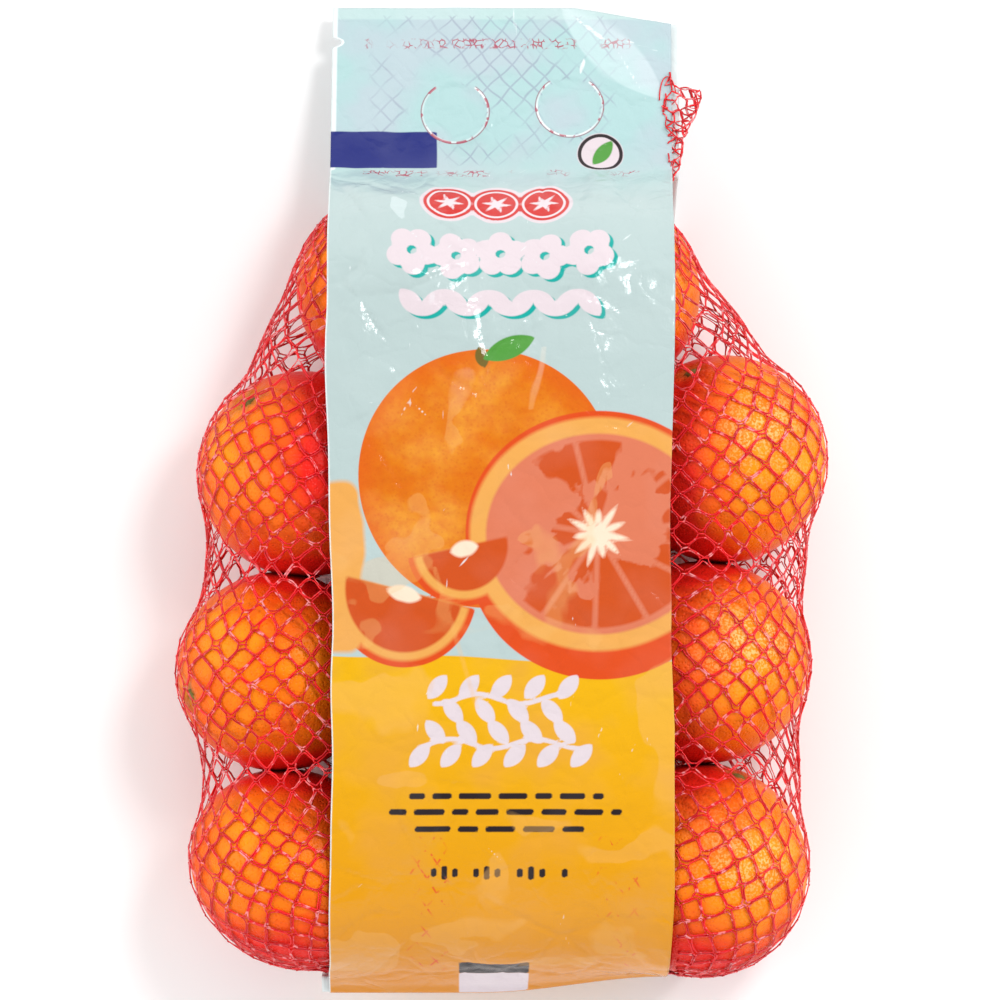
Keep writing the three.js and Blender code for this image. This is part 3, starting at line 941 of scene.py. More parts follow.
class NETBAG_OT_add_net(bpy.types.Operator):
    """Add the knitted net, pulled tight over the fruit"""

    bl_idname = "netbag.add_net"
    bl_label = "Add net"

    def execute(self, context):
        sizes = context.scene.net_bag_sizes
        material = net_filament(context.scene.net_bag_colours)
        knots = stood_off(relaxed_net(sizes.cells_round, sizes.cell_rows, NET_ROUNDS[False]))
        rng = np.random.default_rng(8)
        lines, normals, knot_lines, knot_normals = filament_lines(knots, rng)
        half_width, half_thick = sizes.filament_width / MM / 2, sizes.filament_thickness / MM / 2
        lines = settled(lines, 0.25 + half_thick)
        knot_lines = settled(knot_lines, 0.35 + half_thick)
        middles, knot_middles = lines.mean(1), knot_lines.mean(1)
        hidden, knot_hidden = under_film(middles), under_film(knot_middles)
        for side, sign in (("left", -1), ("right", 1)):
            for level, above in (("front", True), ("back", False)):
                chosen, tied = (
                    ~out_of_sight & (at[:, 0] * sign > 0) & ((at[:, 2] > NET_MIDDLE_LEVEL) == above)
                    for out_of_sight, at in ((hidden, middles), (knot_hidden, knot_middles))
                )
                parts = [
                    (lines[chosen], normals[chosen], half_width, half_thick),
                    (knot_lines[tied], knot_normals[tied], half_width * 0.9, half_thick),
                ]
                net_piece(f"net_{level}_{side}", parts, material)
        single = hidden & (np.arange(len(lines)) < len(lines) // 2)
        plain, plain_normals = lines[single][:, [0, 3, 6]], normals[single][:, [0, 3, 6]]
        net_piece("net_under_films", [(plain, plain_normals, half_width * 1.4, half_thick)], material)
        return {"FINISHED"}


# Film strips


def grid_sheet(name, points, columns, rows):
    """A sheet of quads from an operator's grid, moved to the given points, with each vertex's row and
    column among them."""
    shape = bmesh.new()
    bmesh.ops.create_grid(shape, x_segments=columns - 1, y_segments=rows - 1, size=1.0, calc_uvs=True)
    mesh = bpy.data.meshes.new(name)
    shape.to_mesh(mesh)
    shape.free()
    flat = np.empty(len(mesh.vertices) * 3)
    mesh.vertices.foreach_get("co", flat)
    flat = flat.reshape(-1, 3)
    column = np.rint((flat[:, 0] + 1) / 2 * (columns - 1)).astype(int)
    row = np.rint((1 - flat[:, 1]) / 2 * (rows - 1)).astype(int)
    mesh.vertices.foreach_set("co", to_frame(points[row, column]).astype(np.float32).ravel())
    return mesh, row, column


# Print: each ink is a field of signed distances in millimetres, negative inside its shapes, in the
# strip's own coordinates: x across it and s down it.


def disc(x, s, cx, cs, r):
    return np.hypot(x - cx, s - cs) - r


def oval(x, s, cx, cs, rx, rs):
    return (np.hypot((x - cx) / rx, (s - cs) / rs) - 1) * min(rx, rs)


def bar(x, s, low_x, low_s, high_x, high_s, soft=0.0):
    dx = np.abs(x - (low_x + high_x) / 2) - (high_x - low_x) / 2 + soft
    ds = np.abs(s - (low_s + high_s) / 2) - (high_s - low_s) / 2 + soft
    return np.hypot(np.maximum(dx, 0), np.maximum(ds, 0)) + np.minimum(np.maximum(dx, ds), 0) - soft


def leaf(x, s, cx, cs, length, width, angle):
    """A pointed leaf: where two discs overlap."""
    c, n = math.cos(math.radians(angle)), math.sin(math.radians(angle))
    u, v = (x - cx) * c + (s - cs) * n, -(x - cx) * n + (s - cs) * c
    half, belly = length / 2, width / 2
    radius = (half * half + belly * belly) / (2 * belly)
    return np.maximum(np.hypot(u, v - (radius - belly)), np.hypot(u, v + (radius - belly))) - radius


def union(*fields):
    return np.minimum.reduce(fields)


def garland(x, s):
    """A row of five-petalled blossoms over a row of leaves, where a title would be."""
    middles = [(BLOSSOM_STEP * k, BLOSSOM_LEVEL + 1.2 * (k % 2), k) for k in range(-2, 3)]
    petals = []
    for cx, cs, k in middles:
        for petal in range(5):
            turn = math.radians(72 * petal + 20 * k)
            petals.append(oval(x, s, cx + 4.9 * math.sin(turn), cs - 5.3 * math.cos(turn), 3.9, 4.1))
    flowers = union(*petals)
    for cx, cs, _ in middles:
        flowers = np.maximum(flowers, -disc(x, s, cx, cs, 1.7))
    step, level = LEAF_ROW
    leaves = [leaf(x, s, step * k, level, 12.5, 6.4, -50 if k % 2 else 50) for k in range(-4, 5)]
    return union(flowers, *leaves)


def sprigs(x, s):
    """Rows of slender leaves on wavy stalks, white on the yellow ground."""
    shapes = []
    for level, phase, half, count, step, shift, lean in SPRIGS:
        stalk = np.abs(s - level - 1.6 * np.sin(x / 4.6 + phase)) - 0.8
        shapes.append(np.maximum(stalk, np.abs(x) - half))
        for k in range(-count, count + 1):
            side = 1 if k % 2 else -1
            shapes.append(leaf(x, s, step * k + shift, level + 4 * side, 10.4, 5.4, lean * side))
    return union(*shapes)


def rules(x, s):
    """Short dark bars in rows, where lines of small print would be."""
    rng = np.random.default_rng(3)
    shapes = []
    for level, low, high in RULE_ROWS:
        while low < high - 3:
            run = min(rng.uniform(5, 13), high - low)
            shapes.append(bar(x, s, low, level - 1.05, low + run, level + 1.05, 0.6))
            low += run + 2.4
    for k in range(13):
        if k % 4 != 3:
            tall = 2.6 if k % 2 else 1.7
            left = 3.7 * k - 23.2
            shapes.append(bar(x, s, left, TALLY_LEVEL - tall, left + 2, TALLY_LEVEL + tall, 0.6))
    return union(*shapes)


def cut_half(x, s):
    """Peel, rind, flesh, juice sacs and pith star of the halved fruit, as separate fields."""
    cx, cs = HALF_FRUIT
    flesh = oval(x, s, cx, cs, 38.0, 33.5)
    rind = oval(x, s, cx, cs, 43.6, 39.0)
    peel = union(oval(x, s, cx + 0.6, cs + 6, 45.0, 42.5), oval(x, s, cx, cs - 0.5, 45.0, 40.6))
    reach = np.hypot(x - cx, s - cs)
    angle = np.arctan2(s - cs, x - cx)
    sector = np.abs(((angle / (2 * math.pi) * SEGMENTS + 0.2) % 1) - 0.5)
    membrane = (0.5 - sector) * 2 * math.pi / SEGMENTS * reach
    patch = value_noise(x, s, 15, 11) + 0.45 * value_noise(x, s, 5, 12)
    fibres = value_noise(angle * 26, reach * 0.45, 1.6, 14)
    sacs = np.maximum.reduce([0.9 - membrane, flesh + 2.2, 7 - reach, (0.05 - patch) * 7 + 1.6 * fibres])
    star = disc(x, s, cx, cs, 3.2 + 1.2 * value_noise(x, s, 2.5, 13))
    for k in range(SEGMENTS):
        turn = 360 / SEGMENTS * (k + 0.5 - 0.2)
        ax, ay = 5.2 * math.cos(math.radians(turn)), 5.2 * math.sin(math.radians(turn))
        star = union(star, leaf(x, s, cx + ax, cs + ay, 12.5 - 3 * (k % 3), 2.2, turn))
    return peel, rind, flesh, sacs, star


def wedge(x, s, cx, cs, radius, tilt):
    """Peel, rind and flesh of one wedge, its cut edge up, and the pith on that edge."""
    c, n = math.cos(math.radians(tilt)), math.sin(math.radians(tilt))
    edge = -(x - cx) * n - (s - cs) * c
    rim = disc(x, s, cx, cs, radius)
    pith = np.maximum(leaf(x, s, cx, cs + 1, radius * 0.5, 5.5, -tilt), -edge - 3.5)
    return [np.maximum(rim + inset, edge) for inset in (0, 2.2, 5.0)] + [pith]


def glints(x, s):
    """Painted glints: fine pale strokes along sharp folds of the film."""
    rng = np.random.default_rng(29)
    strokes = np.full_like(x, np.inf)
    for _ in range(70):
        cx = rng.uniform(-50, 50)
        cs = rng.choice([rng.uniform(64, 175), rng.uniform(175, 360)], p=(0.65, 0.35))
        length, width, turn = rng.uniform(3, 9), rng.uniform(0.5, 0.9), rng.uniform(20, 150)
        strokes = union(strokes, leaf(x, s, cx, cs, length, width, turn))
    return strokes + 0.2


def finger_slits(x, s):
    """Distance from the finger holes' rims, and in degrees from the ends of their hinges."""
    holes, hinge = np.full_like(x, np.inf), np.full_like(x, np.inf)
    for hx, hs in HOLES_ON_STRIP:
        holes = union(holes, disc(x, s, hx, hs, FINGER_RADIUS))
        turned = np.abs(np.degrees(np.arctan2(x - hx, hs - s))) - HINGE_HALF_ANGLE
        hinge = np.where(np.hypot(x - hx, s - hs) < 1.5 * FINGER_RADIUS, turned, hinge)
    return holes, hinge


def net_behind_film(x, s, holes):
    """Lines of the net that shows through the header and the foot, and where each lattice shows."""
    bent_x = x + 1.6 * value_noise(x, s, 14, 61) + 0.5 * value_noise(x, s, 4, 62)
    lattice = [
        np.where(s > 250, x / 7 + sign * s / 11.5, (bent_x + sign * 0.86 * s) / 7.4) for sign in (-1, 1)
    ]
    rubbed = union(*[bar(x, s, *patch) for patch in RUBBED_PATCHES])
    diamonds = np.maximum(rubbed, 0.4 - 1.2 * value_noise(x, s, 5, 65))
    faded = value_noise(x, s, 14, 63) + 0.6 * value_noise(x, s, 5, 64)
    faded = faded + 1.0 - np.hypot((x - 2) / 54, (s - 16) / 46)
    grey = np.maximum.reduce([-faded, 3 - s, s - 60, (np.abs(x + 3) - 42) * 0.3, -1 - holes])
    return lattice, diamonds, grey


def molten_beads(x, s):
    """The two rows where the net melted into the header's welds."""
    row = union(*[np.abs(s - level) - half for level, half in MOLTEN_ROWS])
    gaps = value_noise(x, s * 0.2, 10, 43) + 0.4 * value_noise(x, s * 0.5, 3.5, 44)
    return np.maximum.reduce([row, 2 * (np.where(s < 40, 0.1, -0.1) - gaps), np.abs(x) - 47])


def print_fields(x, s):
    """Every ink of the front strip by name."""
    peel, rind, flesh, sacs, star = cut_half(x, s)
    near, far = wedge(x, s, *NEAR_WEDGE), wedge(x, s, *FAR_WEDGE)
    side = bar(x, s, *SIDE_SLICE, 5.0) + 1.2 * value_noise(x, s, 9, 17)
    crest = union(*[oval(x, s, cx, SLICES_LEVEL, *SLICE_HALVES) for cx in SLICES_AT])
    spokes = [leaf(x, s, cx, SLICES_LEVEL, *SPOKE, turn) for cx in SLICES_AT for turn in SPOKE_TURNS]
    badge = disc(x, s, *BADGE)
    margin = x + FILM_HALF - np.where(s < HEADER_ENDS, 1.8, 0.5)
    crease_highlights = union(*[leaf(x, s, *fold) for fold in HEADER_CREASE_HIGHLIGHTS])
    crease_highlights = crease_highlights + np.maximum(0, 0.5 * value_noise(x, s, 2.2, 46))
    holes, hinge = finger_slits(x, s)
    lattice, diamonds, grey = net_behind_film(x, s, holes)
    return {
        "yellow": YELLOW_FROM - s + 1.4 * x / 58 + 0.6 * np.sin(x / 11),
        "whole": disc(x, s, *WHOLE_FRUIT),
        "stub": leaf(x, s, *STALK_STUB),
        "green": union(leaf(x, s, *FRUIT_LEAF), leaf(x, s, *BADGE_LEAF)),
        "peel": union(peel, near[0], far[0]),
        "rind": union(rind, near[1], far[1], side),
        "flesh": flesh,
        "sacs": union(sacs, near[2], far[2]),
        "teal": garland(x - 1.3, s - 1.1),
        "cream": union(star, near[3], far[3]),
        "white": union(garland(x, s), sprigs(x, s), badge, crest - 1.3),
        # the pale margin at the strip's edge, and painted highlights along folds and glints
        "margin_and_highlights": union(margin, crease_highlights, glints(x, s)),
        "navy": bar(x, s, *NAVY_BLOCK) + 0.3 * value_noise(x, s, 7, 19),
        "red": crest,
        "crest_line": union(*spokes),
        "crest": np.clip(crest, -20, 20),
        "weld": np.clip(molten_beads(x, s), -5, 5),
        "lattice_left": lattice[0],
        "lattice_right": lattice[1],
        "holes": np.clip(holes, -20, 20),
        "hinge": np.clip(hinge, -60, 60),
        "badge": np.clip(badge, -20, 20),
        "diamonds": np.clip(diamonds, -3, 3),
        "dark": union(rules(x, s), bar(x, s, *DARK_MARK)),
        "pale_mark": bar(x, s, *PALE_MARK),
        "grey": np.clip(grey, -3, 3),
        "header": s - HEADER_ENDS,
    }


def film_light(x, s):
    """Where the film stands off what is under it, and looks paler, and a painted highlight on the header's
    corner: positive there, in millimetres.
    """
    wx = x + 6 * value_noise(x, s, 13, 51) + 2 * value_noise(x, s, 4, 56)
    ws = s + 6 * value_noise(x, s, 13, 52) + 2 * value_noise(x, s, 4, 57)
    field = value_noise(wx * 1.3, ws * 0.7, 17, 53) + 0.6 * value_noise(wx, ws, 8, 54)
    folds = creases(x, s, 15, 58) - 0.25
    field = field + 0.5 * np.minimum(folds, 0.3) + 0.06
    plain = np.where(s < 140, 0.32, 0) + 0.9 * smooth_step(246, 256, s) + (s < HEADER_ENDS) * (x < -18)
    plain = plain + 0.4 * smooth_step(192, 176, s)
    patches = [oval(wx, ws, *spot) for spot in AIR_PATCHES]
    streak = 0.8 - np.abs(x + 18 - 0.32 * (s - 235)) + 10 * np.minimum(0, 24 - np.abs(s - 245))
    fold = np.abs(x - 14 + 0.2 * (s - 150) + 1.2 * value_noise(x, s, 7, 59))
    other = 0.9 - fold + 10 * np.minimum(0, 11 - np.abs(s - 158))
    # painted highlight on the header's corner
    corner = -leaf(x, s, *CORNER_HIGHLIGHT)
    edges = 0.2 + 0.8 * smooth_step(-0.5, 0.3, value_noise(x, s, 16, 60))
    air = np.maximum.reduce([(field - 0.5 - plain) * 9, -union(*patches), corner]) * edges
    return np.maximum.reduce([air, streak, other])


def ripples(x, s, seed, calm):
    """How far the film's surface lies above its smooth course, in millimetres."""
    warp = 3 * value_noise(x, s, 11, seed)
    fold = creases(x + warp, s + warp, 24, seed + 1)
    small = creases(x - warp, s + 0.5 * warp, 10, seed + 2)
    rolling = 0.55 * value_noise(x, s * 0.6, 15, seed + 3) + 0.22 * value_noise(x, s, 6, seed + 4)
    height = rolling - 0.5 * np.exp(-fold / 0.05) + 0.2 * np.exp(-small / 0.07)
    return height * calm


class NETBAG_OT_add_films(bpy.types.Operator):
    """Add the printed film strips"""

    bl_idname = "netbag.add_films"
    bl_label = "Add film strips"

    def execute(self, context):
        sizes = context.scene.net_bag_sizes
        material = printed_film(context.scene.net_bag_colours)
        add_strip("front_film", FRONT_SHIFT, True, sizes, material)
        add_strip("back_film", BACK_SHIFT, False, sizes, material)
        return {"FINISHED"}


def back_course():
    """The back strip's course, with its rows' distance down the strip."""
    coarse, run = back_path(COARSE_STEP)
    grid = np.empty((len(coarse), COURSE_COLUMNS, 3))
    grid[..., 0] = np.linspace(-FILM_HALF, FILM_HALF, COURSE_COLUMNS)
    grid[..., 1:] = coarse[:, None]
    above = (grid[..., 1] < -150) & (grid[..., 2] > 1)
    grid[..., 1] += above * foot_rise(grid[..., 0], grid[..., 1]) * smooth_step(0, 20, grid[..., 2])
    return grid, run


def cut_out(grid, length, spacing, shift, is_front):
    """A strip's points (rows, columns, 3) on its course, with the header's corner cut off, the edges
    swaying and the tear notch cut in, and each point's place x across and s down the strip."""
    columns, rows = round(2 * FILM_HALF / spacing) + 1, round(length / spacing) + 1
    even = np.linspace(0, length, rows)
    x = np.linspace(-FILM_HALF, FILM_HALF, columns)[None, :] + np.zeros((rows, 1))
    s = even[:, None] + np.zeros((1, columns))
    cut = np.maximum(0, x - HEADER_CORNER[0]) * HEADER_CORNER[1] / 91.5 * 1.05
    s = np.where(s < HEADER_LENGTH, cut + s * (HEADER_LENGTH - cut) / HEADER_LENGTH, s)
    fine = resampled(resampled(grid, rows, 0), columns, 1)
    points = np.empty_like(fine)
    for column in range(columns):
        for axis in range(3):
            points[:, column, axis] = np.interp(s[:, column], even, fine[:, column, axis])
    points[..., 0] += shift[0] + (shift[1] - shift[0]) * s / length
    sway = 0.7 * value_noise(s * 0 + np.sign(x) * 90, s, 26, 71 + is_front)
    points[..., 0] += smooth_step(0.82, 1.0, np.abs(x) / FILM_HALF) * sway * smooth_step(60, 100, s)
    if is_front:
        points[..., 0] += np.interp(s, *LEFT_DRAWN_IN) * np.clip(-x / FILM_HALF, 0, 1)
        points[..., 0] -= np.interp(s, *RIGHT_DRAWN_IN) * np.clip(x / FILM_HALF, 0, 1)
    level, deep, half = TEAR_NOTCH
    notch = np.sqrt(np.clip(1 - ((points[..., 1] - level) / half) ** 2, 0, 1))
    points[..., 0] += notch * deep * smooth_step(0.9, 1.0, -x / FILM_HALF)
    return points, x, s


def front_relief(x, s, length):
    """The front strip's wrinkles: stiff in the header, puckered under its weld and calmer at the foot."""
    loose = 0.5 + 0.35 * smooth_step(60, 72, s) + 0.7 * smooth_step(64, 90, s) * smooth_step(185, 140, s)
    height = ripples(x, s, 60, loose * smooth_step(length, length - 12, s))
    height = height + 0.6 * (
        value_noise(x, 0.12 * s, 4.5, 76) * smooth_step(60, 68, s) * smooth_step(100, 72, s)
    )
    for hx, hs in HOLES_ON_STRIP:
        height = height + 0.35 * np.exp(-(((np.hypot(x - hx, s - hs) - FINGER_RADIUS) / 0.9) ** 2))
    below_weld = smooth_step(58, 70, s)
    return np.clip(height, -0.15 - 0.2 * below_weld, 0.6 + 2 * below_weld)


def add_strip(name, shift, is_front, sizes, material):
    """Adds one film strip with its wrinkles, and its print as attributes."""
    grid, run = front_course() if is_front else back_course()
    points, x, s = cut_out(grid, run[-1], sizes.film_grid / MM, shift, is_front)
    normal = unit(np.cross(np.gradient(points, axis=1), np.gradient(points, axis=0)))
    if is_front:
        normal *= np.sign(normal[..., 2:3] + 1e-9)
        height = front_relief(x, s, run[-1])
        fields = print_fields(x, s)
        fields["air"] = film_light(x, s)
    else:
        normal *= -np.sign(normal[..., 2:3] + 1e-9)
        height = np.clip(ripples(x, s, 80, 0.3) - 0.3, -0.6, 0.0)
        fields = back_print_fields(x, s)
        fields["air"] = film_light(x + 90, s) - 1
    fields["paler"] = np.abs(s - 1.5) - 2.8
    fields["down"] = s / 100
    points = points + normal * height[..., None]
    points[..., 2] = np.maximum(points[..., 2], 0.08)
    mesh, row, column = grid_sheet(name, points, x.shape[1], x.shape[0])
    mesh.shade_smooth()
    for key, values in fields.items():
        set_attribute(mesh, key, values[row, column])
    piece = new_object(name, mesh, material, name)
    wall = piece.modifiers.new("film", "SOLIDIFY")
    wall.thickness = sizes.film_thickness
    wall.offset = 0


def back_print_fields(x, s):
    """The back strip's plain print: the same grounds, a pale panel and a row of fruit discs."""
    far = np.full_like(x, 50.0)
    unused = "stub green peel flesh teal navy red weld diamonds dark cream crest_line crest holes hinge badge"
    fields = dict.fromkeys(unused.split() + ["pale_mark", "grey", "lattice_left", "lattice_right"], far)
    middles = [(cx, 235.0 + 9 * (k % 2)) for k, cx in enumerate((-38, -19, 0, 19, 38))]
    for ink, radius in (("whole", 9.0), ("rind", 7.6), ("sacs", 6.4)):
        fields[ink] = union(*[disc(x, s, cx, cs, radius) for cx, cs in middles])
    return fields | {
        "yellow": 262 - s + 1.2 * np.sin(x / 9),
        "white": bar(x, s, -40, 120, 40, 200, 5.0),
        "margin_and_highlights": FILM_HALF - 6.5 - np.abs(x),
        "header": s - 60,
    }


def printed_film(colours):
    """Laminated polypropylene film, reverse printed: glossy, crinkled and paler where it stands off, with
    painted highlights along folds and on the finger holes' rims and a painted shadow line beside those rims.
    """
    material, tree = new_material("printed_polypropylene_film")
    place = add_node(tree, "TexCoord").outputs["Object"]

    def inked(under, inks):
        """Prints inks in turn, each where its field is negative."""
        for field, code, soft in inks:
            under = painted(tree, under, code, amount(tree, field, -soft, soft, 1.0, 0.0))
        return under

    def band(field, middle, half):
        """1 within half a width of one distance in the field, and 0 beyond."""
        distance = add_node(tree, "Attribute", attribute_name=field).outputs["Fac"]
        away = add_node(tree, "Math", {0: distance, 1: middle}, operation="SUBTRACT").outputs[0]
        size = add_node(tree, "Math", {0: away}, operation="ABSOLUTE").outputs[0]
        return amount(tree, size, half - 0.15, half + 0.15, 1.0, 0.0)

    grain_size, pore_size, shade_size = 3 * MM, 1.5 * MM, 24 * MM
    bead_size, fold_size, sway_size = 2.1 * MM, 17 * MM, 14 * MM
    grain = {"Vector": place, "Scale": 1 / grain_size, "Detail": 3.0, "Distortion": 0.2}
    grain = add_node(tree, "TexNoise", grain).outputs[0]
    shade = add_node(tree, "TexNoise", {"Vector": place, "Scale": 1 / shade_size, "Detail": 2.0}).outputs[0]
    pores = add_node(tree, "TexVoronoi", {"Vector": place, "Scale": 1 / pore_size}).outputs["Distance"]

    haze = painted(tree, "#A3C3C3", "#AABCC2", amount(tree, shade, 0.42, 0.6))
    ground = painted(tree, haze, colours.aqua, amount(tree, "header", -14, 22))
    ground = painted(tree, ground, "#B4CCCA", amount(tree, "paler", -0.4, 0.4, 0.8, 0.0))
    lines = []
    for field in ("lattice_left", "lattice_right"):
        along = add_node(tree, "Attribute", attribute_name=field).outputs["Fac"]
        lines.append(add_node(tree, "Math", {0: along, 1: 0.5}, operation="PINGPONG").outputs[0])
    thread = add_node(tree, "Math", {0: lines[0], 1: lines[1]}, operation="MINIMUM").outputs[0]
    thread = amount(tree, thread, 0.025, 0.085, 1.0, 0.0)
    ground = painted(tree, ground, "#8C94A6", thread, amount(tree, "grey", -0.6, 0.3, 0.62, 0.0))
    below = painted(tree, colours.yellow, "#D4840A", amount(tree, "down", 2.6, 3.8))
    below = painted(tree, below, "#CC8608", amount(tree, shade, 0.5, 0.68, 0.0, 0.35))
    film = painted(tree, ground, below, amount(tree, "yellow", -0.2, 0.2, 1.0, 0.0))

    peel = painted(tree, "#CC6A0C", "#D88A16", amount(tree, shade, 0.4, 0.62))
    peel = painted(tree, peel, "#C65A0A", amount(tree, grain, 0.3, 0.7, 0.55, 0.0))
    peel = painted(tree, peel, "#B84C08", amount(tree, pores, 0.0, 0.4, 0.35, 0.0))
    film = painted(tree, film, peel, amount(tree, "whole", -0.2, 0.2, 1.0, 0.0))
    rim = amount(tree, "whole", -9.0, -1.0, 0.0, 0.55), amount(tree, "whole", -0.1, 0.1, 1.0, 0.0)
    film = painted(tree, film, "#CE5412", *rim)
    film = inked(film, FRUIT_INKS)
    film = painted(tree, film, "#241A1E", band("badge", -0.9, 0.62))
    film = inked(film, LABEL_INKS)
    film = painted(tree, film, "#D6C8CC", band("crest", -1.6, 0.42))
    film = inked(film, LINE_INKS)

    worn = amount(tree, grain, 0.5, 0.56)
    film = painted(tree, film, "#D2501E", thread, worn, amount(tree, "diamonds", -0.5, 0.5, 0.9, 0.0))
    cut = amount(tree, "hinge", -1.0, 3.0)
    # painted shadow: a thin dark line just outside each finger hole's cut
    film = painted(tree, film, "#8C7078", band("holes", 0.45, 0.2), cut)
    # painted highlight: a white line on each cut's rim, broken into arcs by noise
    lifted = amount(tree, shade, 0.42, 0.54, 0.25, 1.0)
    film = painted(tree, film, "#F4F4F4", band("holes", 0.0, 0.3), cut, lifted)
    beads = {"Vector": place, "Scale": 1 / bead_size}
    beads = add_node(tree, "TexVoronoi", beads, feature="DISTANCE_TO_EDGE").outputs[0]
    beads = amount(tree, beads, 0.04, 0.12, 1.0, 0.0), amount(tree, grain, 0.42, 0.5)
    film = painted(tree, film, MOLTEN_NET, *beads, amount(tree, "weld", -0.5, 0.3, 0.9, 0.0))
    snagged = amount(tree, grain, 0.56, 0.6, 0.0, 0.8)
    film = painted(tree, film, MOLTEN_NET, band("holes", 0.2, 0.45), cut, snagged)
    pale = painted(tree, "#E6F0F2", "#E0AC66", amount(tree, "down", 1.3, 1.7))
    film = painted(tree, film, pale, amount(tree, "air", -0.35, 0.35, 0.0, 0.24))
    film = painted(tree, film, "#FFFFFF", amount(tree, shade, 0.45, 0.75, 0.0, 0.03))

    sway = add_node(tree, "TexNoise", {"Vector": place, "Scale": 1 / sway_size, "Detail": 2.0})
    sway = sway.outputs["Color"]
    drift = add_node(tree, "VectorMath", {0: sway, "Scale": sway_size}, operation="SCALE").outputs[0]
    bent = add_node(tree, "VectorMath", {0: place, 1: drift}, operation="ADD").outputs[0]
    folds = add_node(tree, "TexVoronoi", {"Vector": bent, "Scale": 1 / fold_size}, feature="DISTANCE_TO_EDGE")
    creased = {"Height": amount(tree, folds.outputs[0], 0.0, 0.1), "Strength": 0.3, "Distance": 0.4 * MM}
    creased = add_node(tree, "Bump", creased).outputs[0]
    crumpled = {"Height": grain, "Strength": 0.45, "Distance": 0.45 * MM, "Normal": creased}
    crumpled = add_node(tree, "Bump", crumpled).outputs[0]
    finish_material(
        tree, {"Base Color": film, "Roughness": 0.14, "Specular IOR Level": 0.36, "Normal": crumpled}
    )
    return material


# Net end in the header, and its torn tail


def header_level(y):
    """Height of the front strip's middle surface in the header."""
    return WELD[1] + (HEADER_TOP[1] - WELD[1]) / (HEADER_TOP[0] - WELD[0]) * (y - WELD[0])


def inside_outline(x, y, outline):
    """True for points inside a closed outline."""
    inside = np.zeros(np.shape(x), bool)
    for (ax, ay), (bx, by) in zip(outline, np.roll(outline, -1, axis=0)):
        crosses = (ay > y) != (by > y)
        inside ^= crosses & (x < (bx - ax) * (y - ay) / (by - ay + 1e-12) + ax)
    return inside


def flattened_lattice(rng):
    """The flattened net's strands between the films, as straight lines in x and y."""
    steps = np.linspace(0, 1, 16)
    lines = []
    for lean in (-1, 1):
        for start in np.arange(-90, 92, LATTICE_STEP):
            x = start + lean * (steps - 0.5) * LATTICE_SLANT + 0.25 * rng.normal(size=16)
            y = LATTICE_FOOT + steps * LATTICE_RISE
            within = (x > LATTICE_SIDES[0]) & (x < LATTICE_SIDES[1])
            if within.sum() > 4:
                share = np.linspace(0, 1, within.sum())
                lines.append(np.stack([np.interp(steps, share, values[within]) for values in (x, y)], -1))
    return np.array(lines)


def torn_tail(rng):
    """Tangled strands of the torn net end that stick out past the header, as lines in x and y."""
    spots = []
    for spot in rng.uniform(*TAIL_CORNERS, (TAIL_TRIES, 2)):
        if not inside_outline(*spot, TAIL):
            continue
        if all(np.hypot(*(spot - other)) > TAIL_KNOTS_APART for other in spots):
            spots.append(spot)
    spots = np.array(spots)
    pairs = set()
    for k, spot in enumerate(spots):
        order = np.argsort(np.hypot(*(spots - spot).T))
        for other in order[1 : rng.integers(4, 7)]:
            pairs.add((min(k, other), max(k, other)))
    steps = np.linspace(0, 1, 8)[:, None]
    lines = []
    for a, b in sorted(pairs):
        for _ in range(rng.integers(1, 3)):
            line = spots[a] * (1 - steps) + spots[b] * steps
            across = unit(spots[b] - spots[a])[::-1] * (1, -1)
            bow = rng.normal() * 0.2 * np.sin(math.pi * steps)
            bow = bow + rng.normal() * 0.08 * np.sin(3 * math.pi * steps)
            lines.append(line + across * bow + 0.15 * rng.normal(size=2))
    return np.array(lines)


class NETBAG_OT_add_net_end(bpy.types.Operator):
    """Add the flattened net end between the header's films, with its torn tail"""

    bl_idname = "netbag.add_net_end"
    bl_label = "Add net end"

    def execute(self, context):
        sizes = context.scene.net_bag_sizes
        material = bpy.data.materials["red_polyethylene_filament"]
        half_width, half_thick = sizes.filament_width / MM / 2, sizes.filament_thickness / MM / 2
        rng = np.random.default_rng(21)

        def laid(lines, low, high):
            level = header_level(lines[..., 1]) - LAYER_STEP + rng.uniform(low, high, (len(lines), 1))
            return np.concatenate([lines, level[..., None]], -1)

        lattice = laid(flattened_lattice(rng), -0.1, 0.1)
        tail = laid(torn_tail(rng), -1.2, 2.2)
        thread = bezier(*LOOSE_THREAD, 16)
        thread = np.concatenate([thread, (header_level(thread[:, 1]) + 0.55)[:, None]], -1)[None]
        parts = [
            (lines, np.broadcast_to((0, 0.35, 0.94), lines.shape), width, thick)
            for lines, width, thick in (
                (lattice, half_width, 0.1),
                (tail, half_width * 0.9, half_thick * 0.8),
                (thread, half_width * 0.7, half_thick * 0.8),
            )
        ]
        net_piece("net_end", parts, material, "net_end")
        return {"FINISHED"}


# Stage


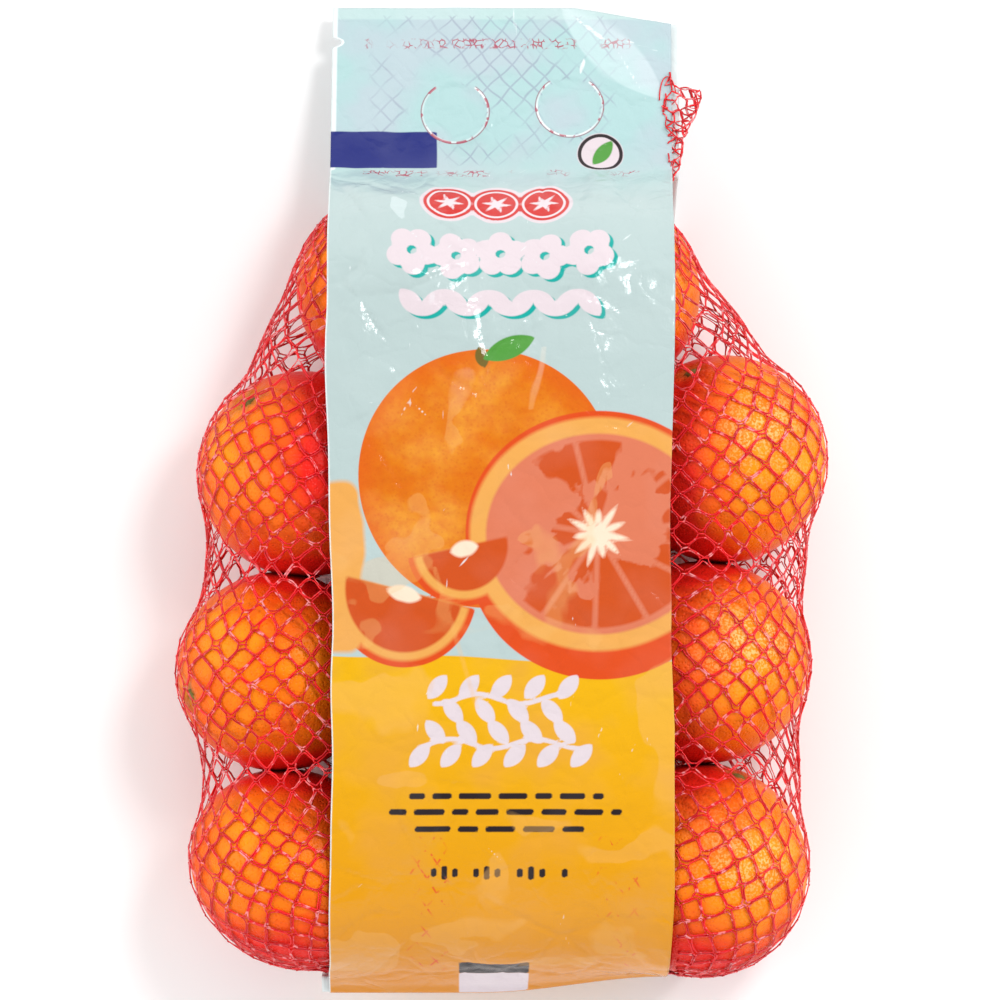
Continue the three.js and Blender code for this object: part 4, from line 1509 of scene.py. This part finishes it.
class NETBAG_OT_add_stage(bpy.types.Operator):
    """Add the floor, the lights and the camera"""

    bl_idname = "netbag.add_stage"
    bl_label = "Add stage"

    def execute(self, context):
        scene = context.scene
        shape = bmesh.new()
        bmesh.ops.create_grid(shape, x_segments=1, y_segments=1, size=4.0)
        mesh = bpy.data.meshes.new("floor")
        shape.to_mesh(mesh)
        shape.free()
        floor = bpy.data.objects.new("floor", mesh)
        scene.collection.objects.link(floor)
        material, tree = new_material("matte_white_board")
        finish_material(tree, {"Base Color": scene.net_bag_colours.floor, "Roughness": 0.9})
        mesh.materials.append(material)
        for light in LIGHTS:
            self.add_light(*light)
        world = bpy.data.worlds.new("studio")
        world.use_nodes = True
        tree = world.node_tree
        direction = add_node(tree, "TexCoord").outputs["Generated"]
        up = add_node(tree, "SeparateXYZ", {0: direction}).outputs[2]
        sky = tree.nodes["Background"]
        sky.inputs[0].default_value = (1, 1, 1, 1)
        tree.links.new(amount(tree, up, **DARK_OVERHEAD), sky.inputs[1])
        scene.world = world
        camera = bpy.data.cameras.new("camera")
        camera.lens = CAMERA_LENS
        camera.sensor_width = 36.0
        camera.clip_end = 20.0
        holder = bpy.data.objects.new("camera", camera)
        holder.location = CAMERA_AT
        scene.collection.objects.link(holder)
        scene.camera = holder
        scene.view_settings.view_transform = "Standard"
        return {"FINISHED"}

    def add_light(self, name, place, size, power):
        light = bpy.data.lights.new(name, "AREA")
        light.shape = "DISK"
        light.size = size
        light.energy = power
        lamp = bpy.data.objects.new(name, light)
        lamp.location = place
        lamp.rotation_euler = (Vector((0, 0, 0.03)) - Vector(place)).to_track_quat("-Z", "Y").to_euler()
        bpy.context.scene.collection.objects.link(lamp)


OPERATORS = (
    NETBAG_OT_add_oranges,
    NETBAG_OT_add_net,
    NETBAG_OT_add_net_end,
    NETBAG_OT_add_films,
    NETBAG_OT_add_stage,
)


class NETBAG_PT_panel(bpy.types.Panel):
    """Buttons for the bag's pieces"""

    bl_idname = "NETBAG_PT_panel"
    bl_label = "Net bag of oranges"
    bl_space_type = "VIEW_3D"
    bl_region_type = "UI"
    bl_category = "Net bag"

    def draw(self, context):
        for operator in OPERATORS:
            self.layout.operator(operator.bl_idname)
        for group in (context.scene.net_bag_sizes, context.scene.net_bag_colours):
            for key in group.__annotations__:
                self.layout.prop(group, key)


CLASSES = (NetBagSizes, NetBagColours, *OPERATORS, NETBAG_PT_panel)


def register():
    for cls in CLASSES:
        bpy.utils.register_class(cls)
    bpy.types.Scene.net_bag_sizes = bpy.props.PointerProperty(type=NetBagSizes)
    bpy.types.Scene.net_bag_colours = bpy.props.PointerProperty(type=NetBagColours)


def unregister():
    del bpy.types.Scene.net_bag_colours
    del bpy.types.Scene.net_bag_sizes
    for cls in reversed(CLASSES):
        bpy.utils.unregister_class(cls)


def main():
    register()
    bpy.ops.netbag.add_oranges()
    bpy.ops.netbag.add_net()
    bpy.ops.netbag.add_net_end()
    bpy.ops.netbag.add_films()
    bpy.ops.netbag.add_stage()


if __name__ == "__main__":
    main()
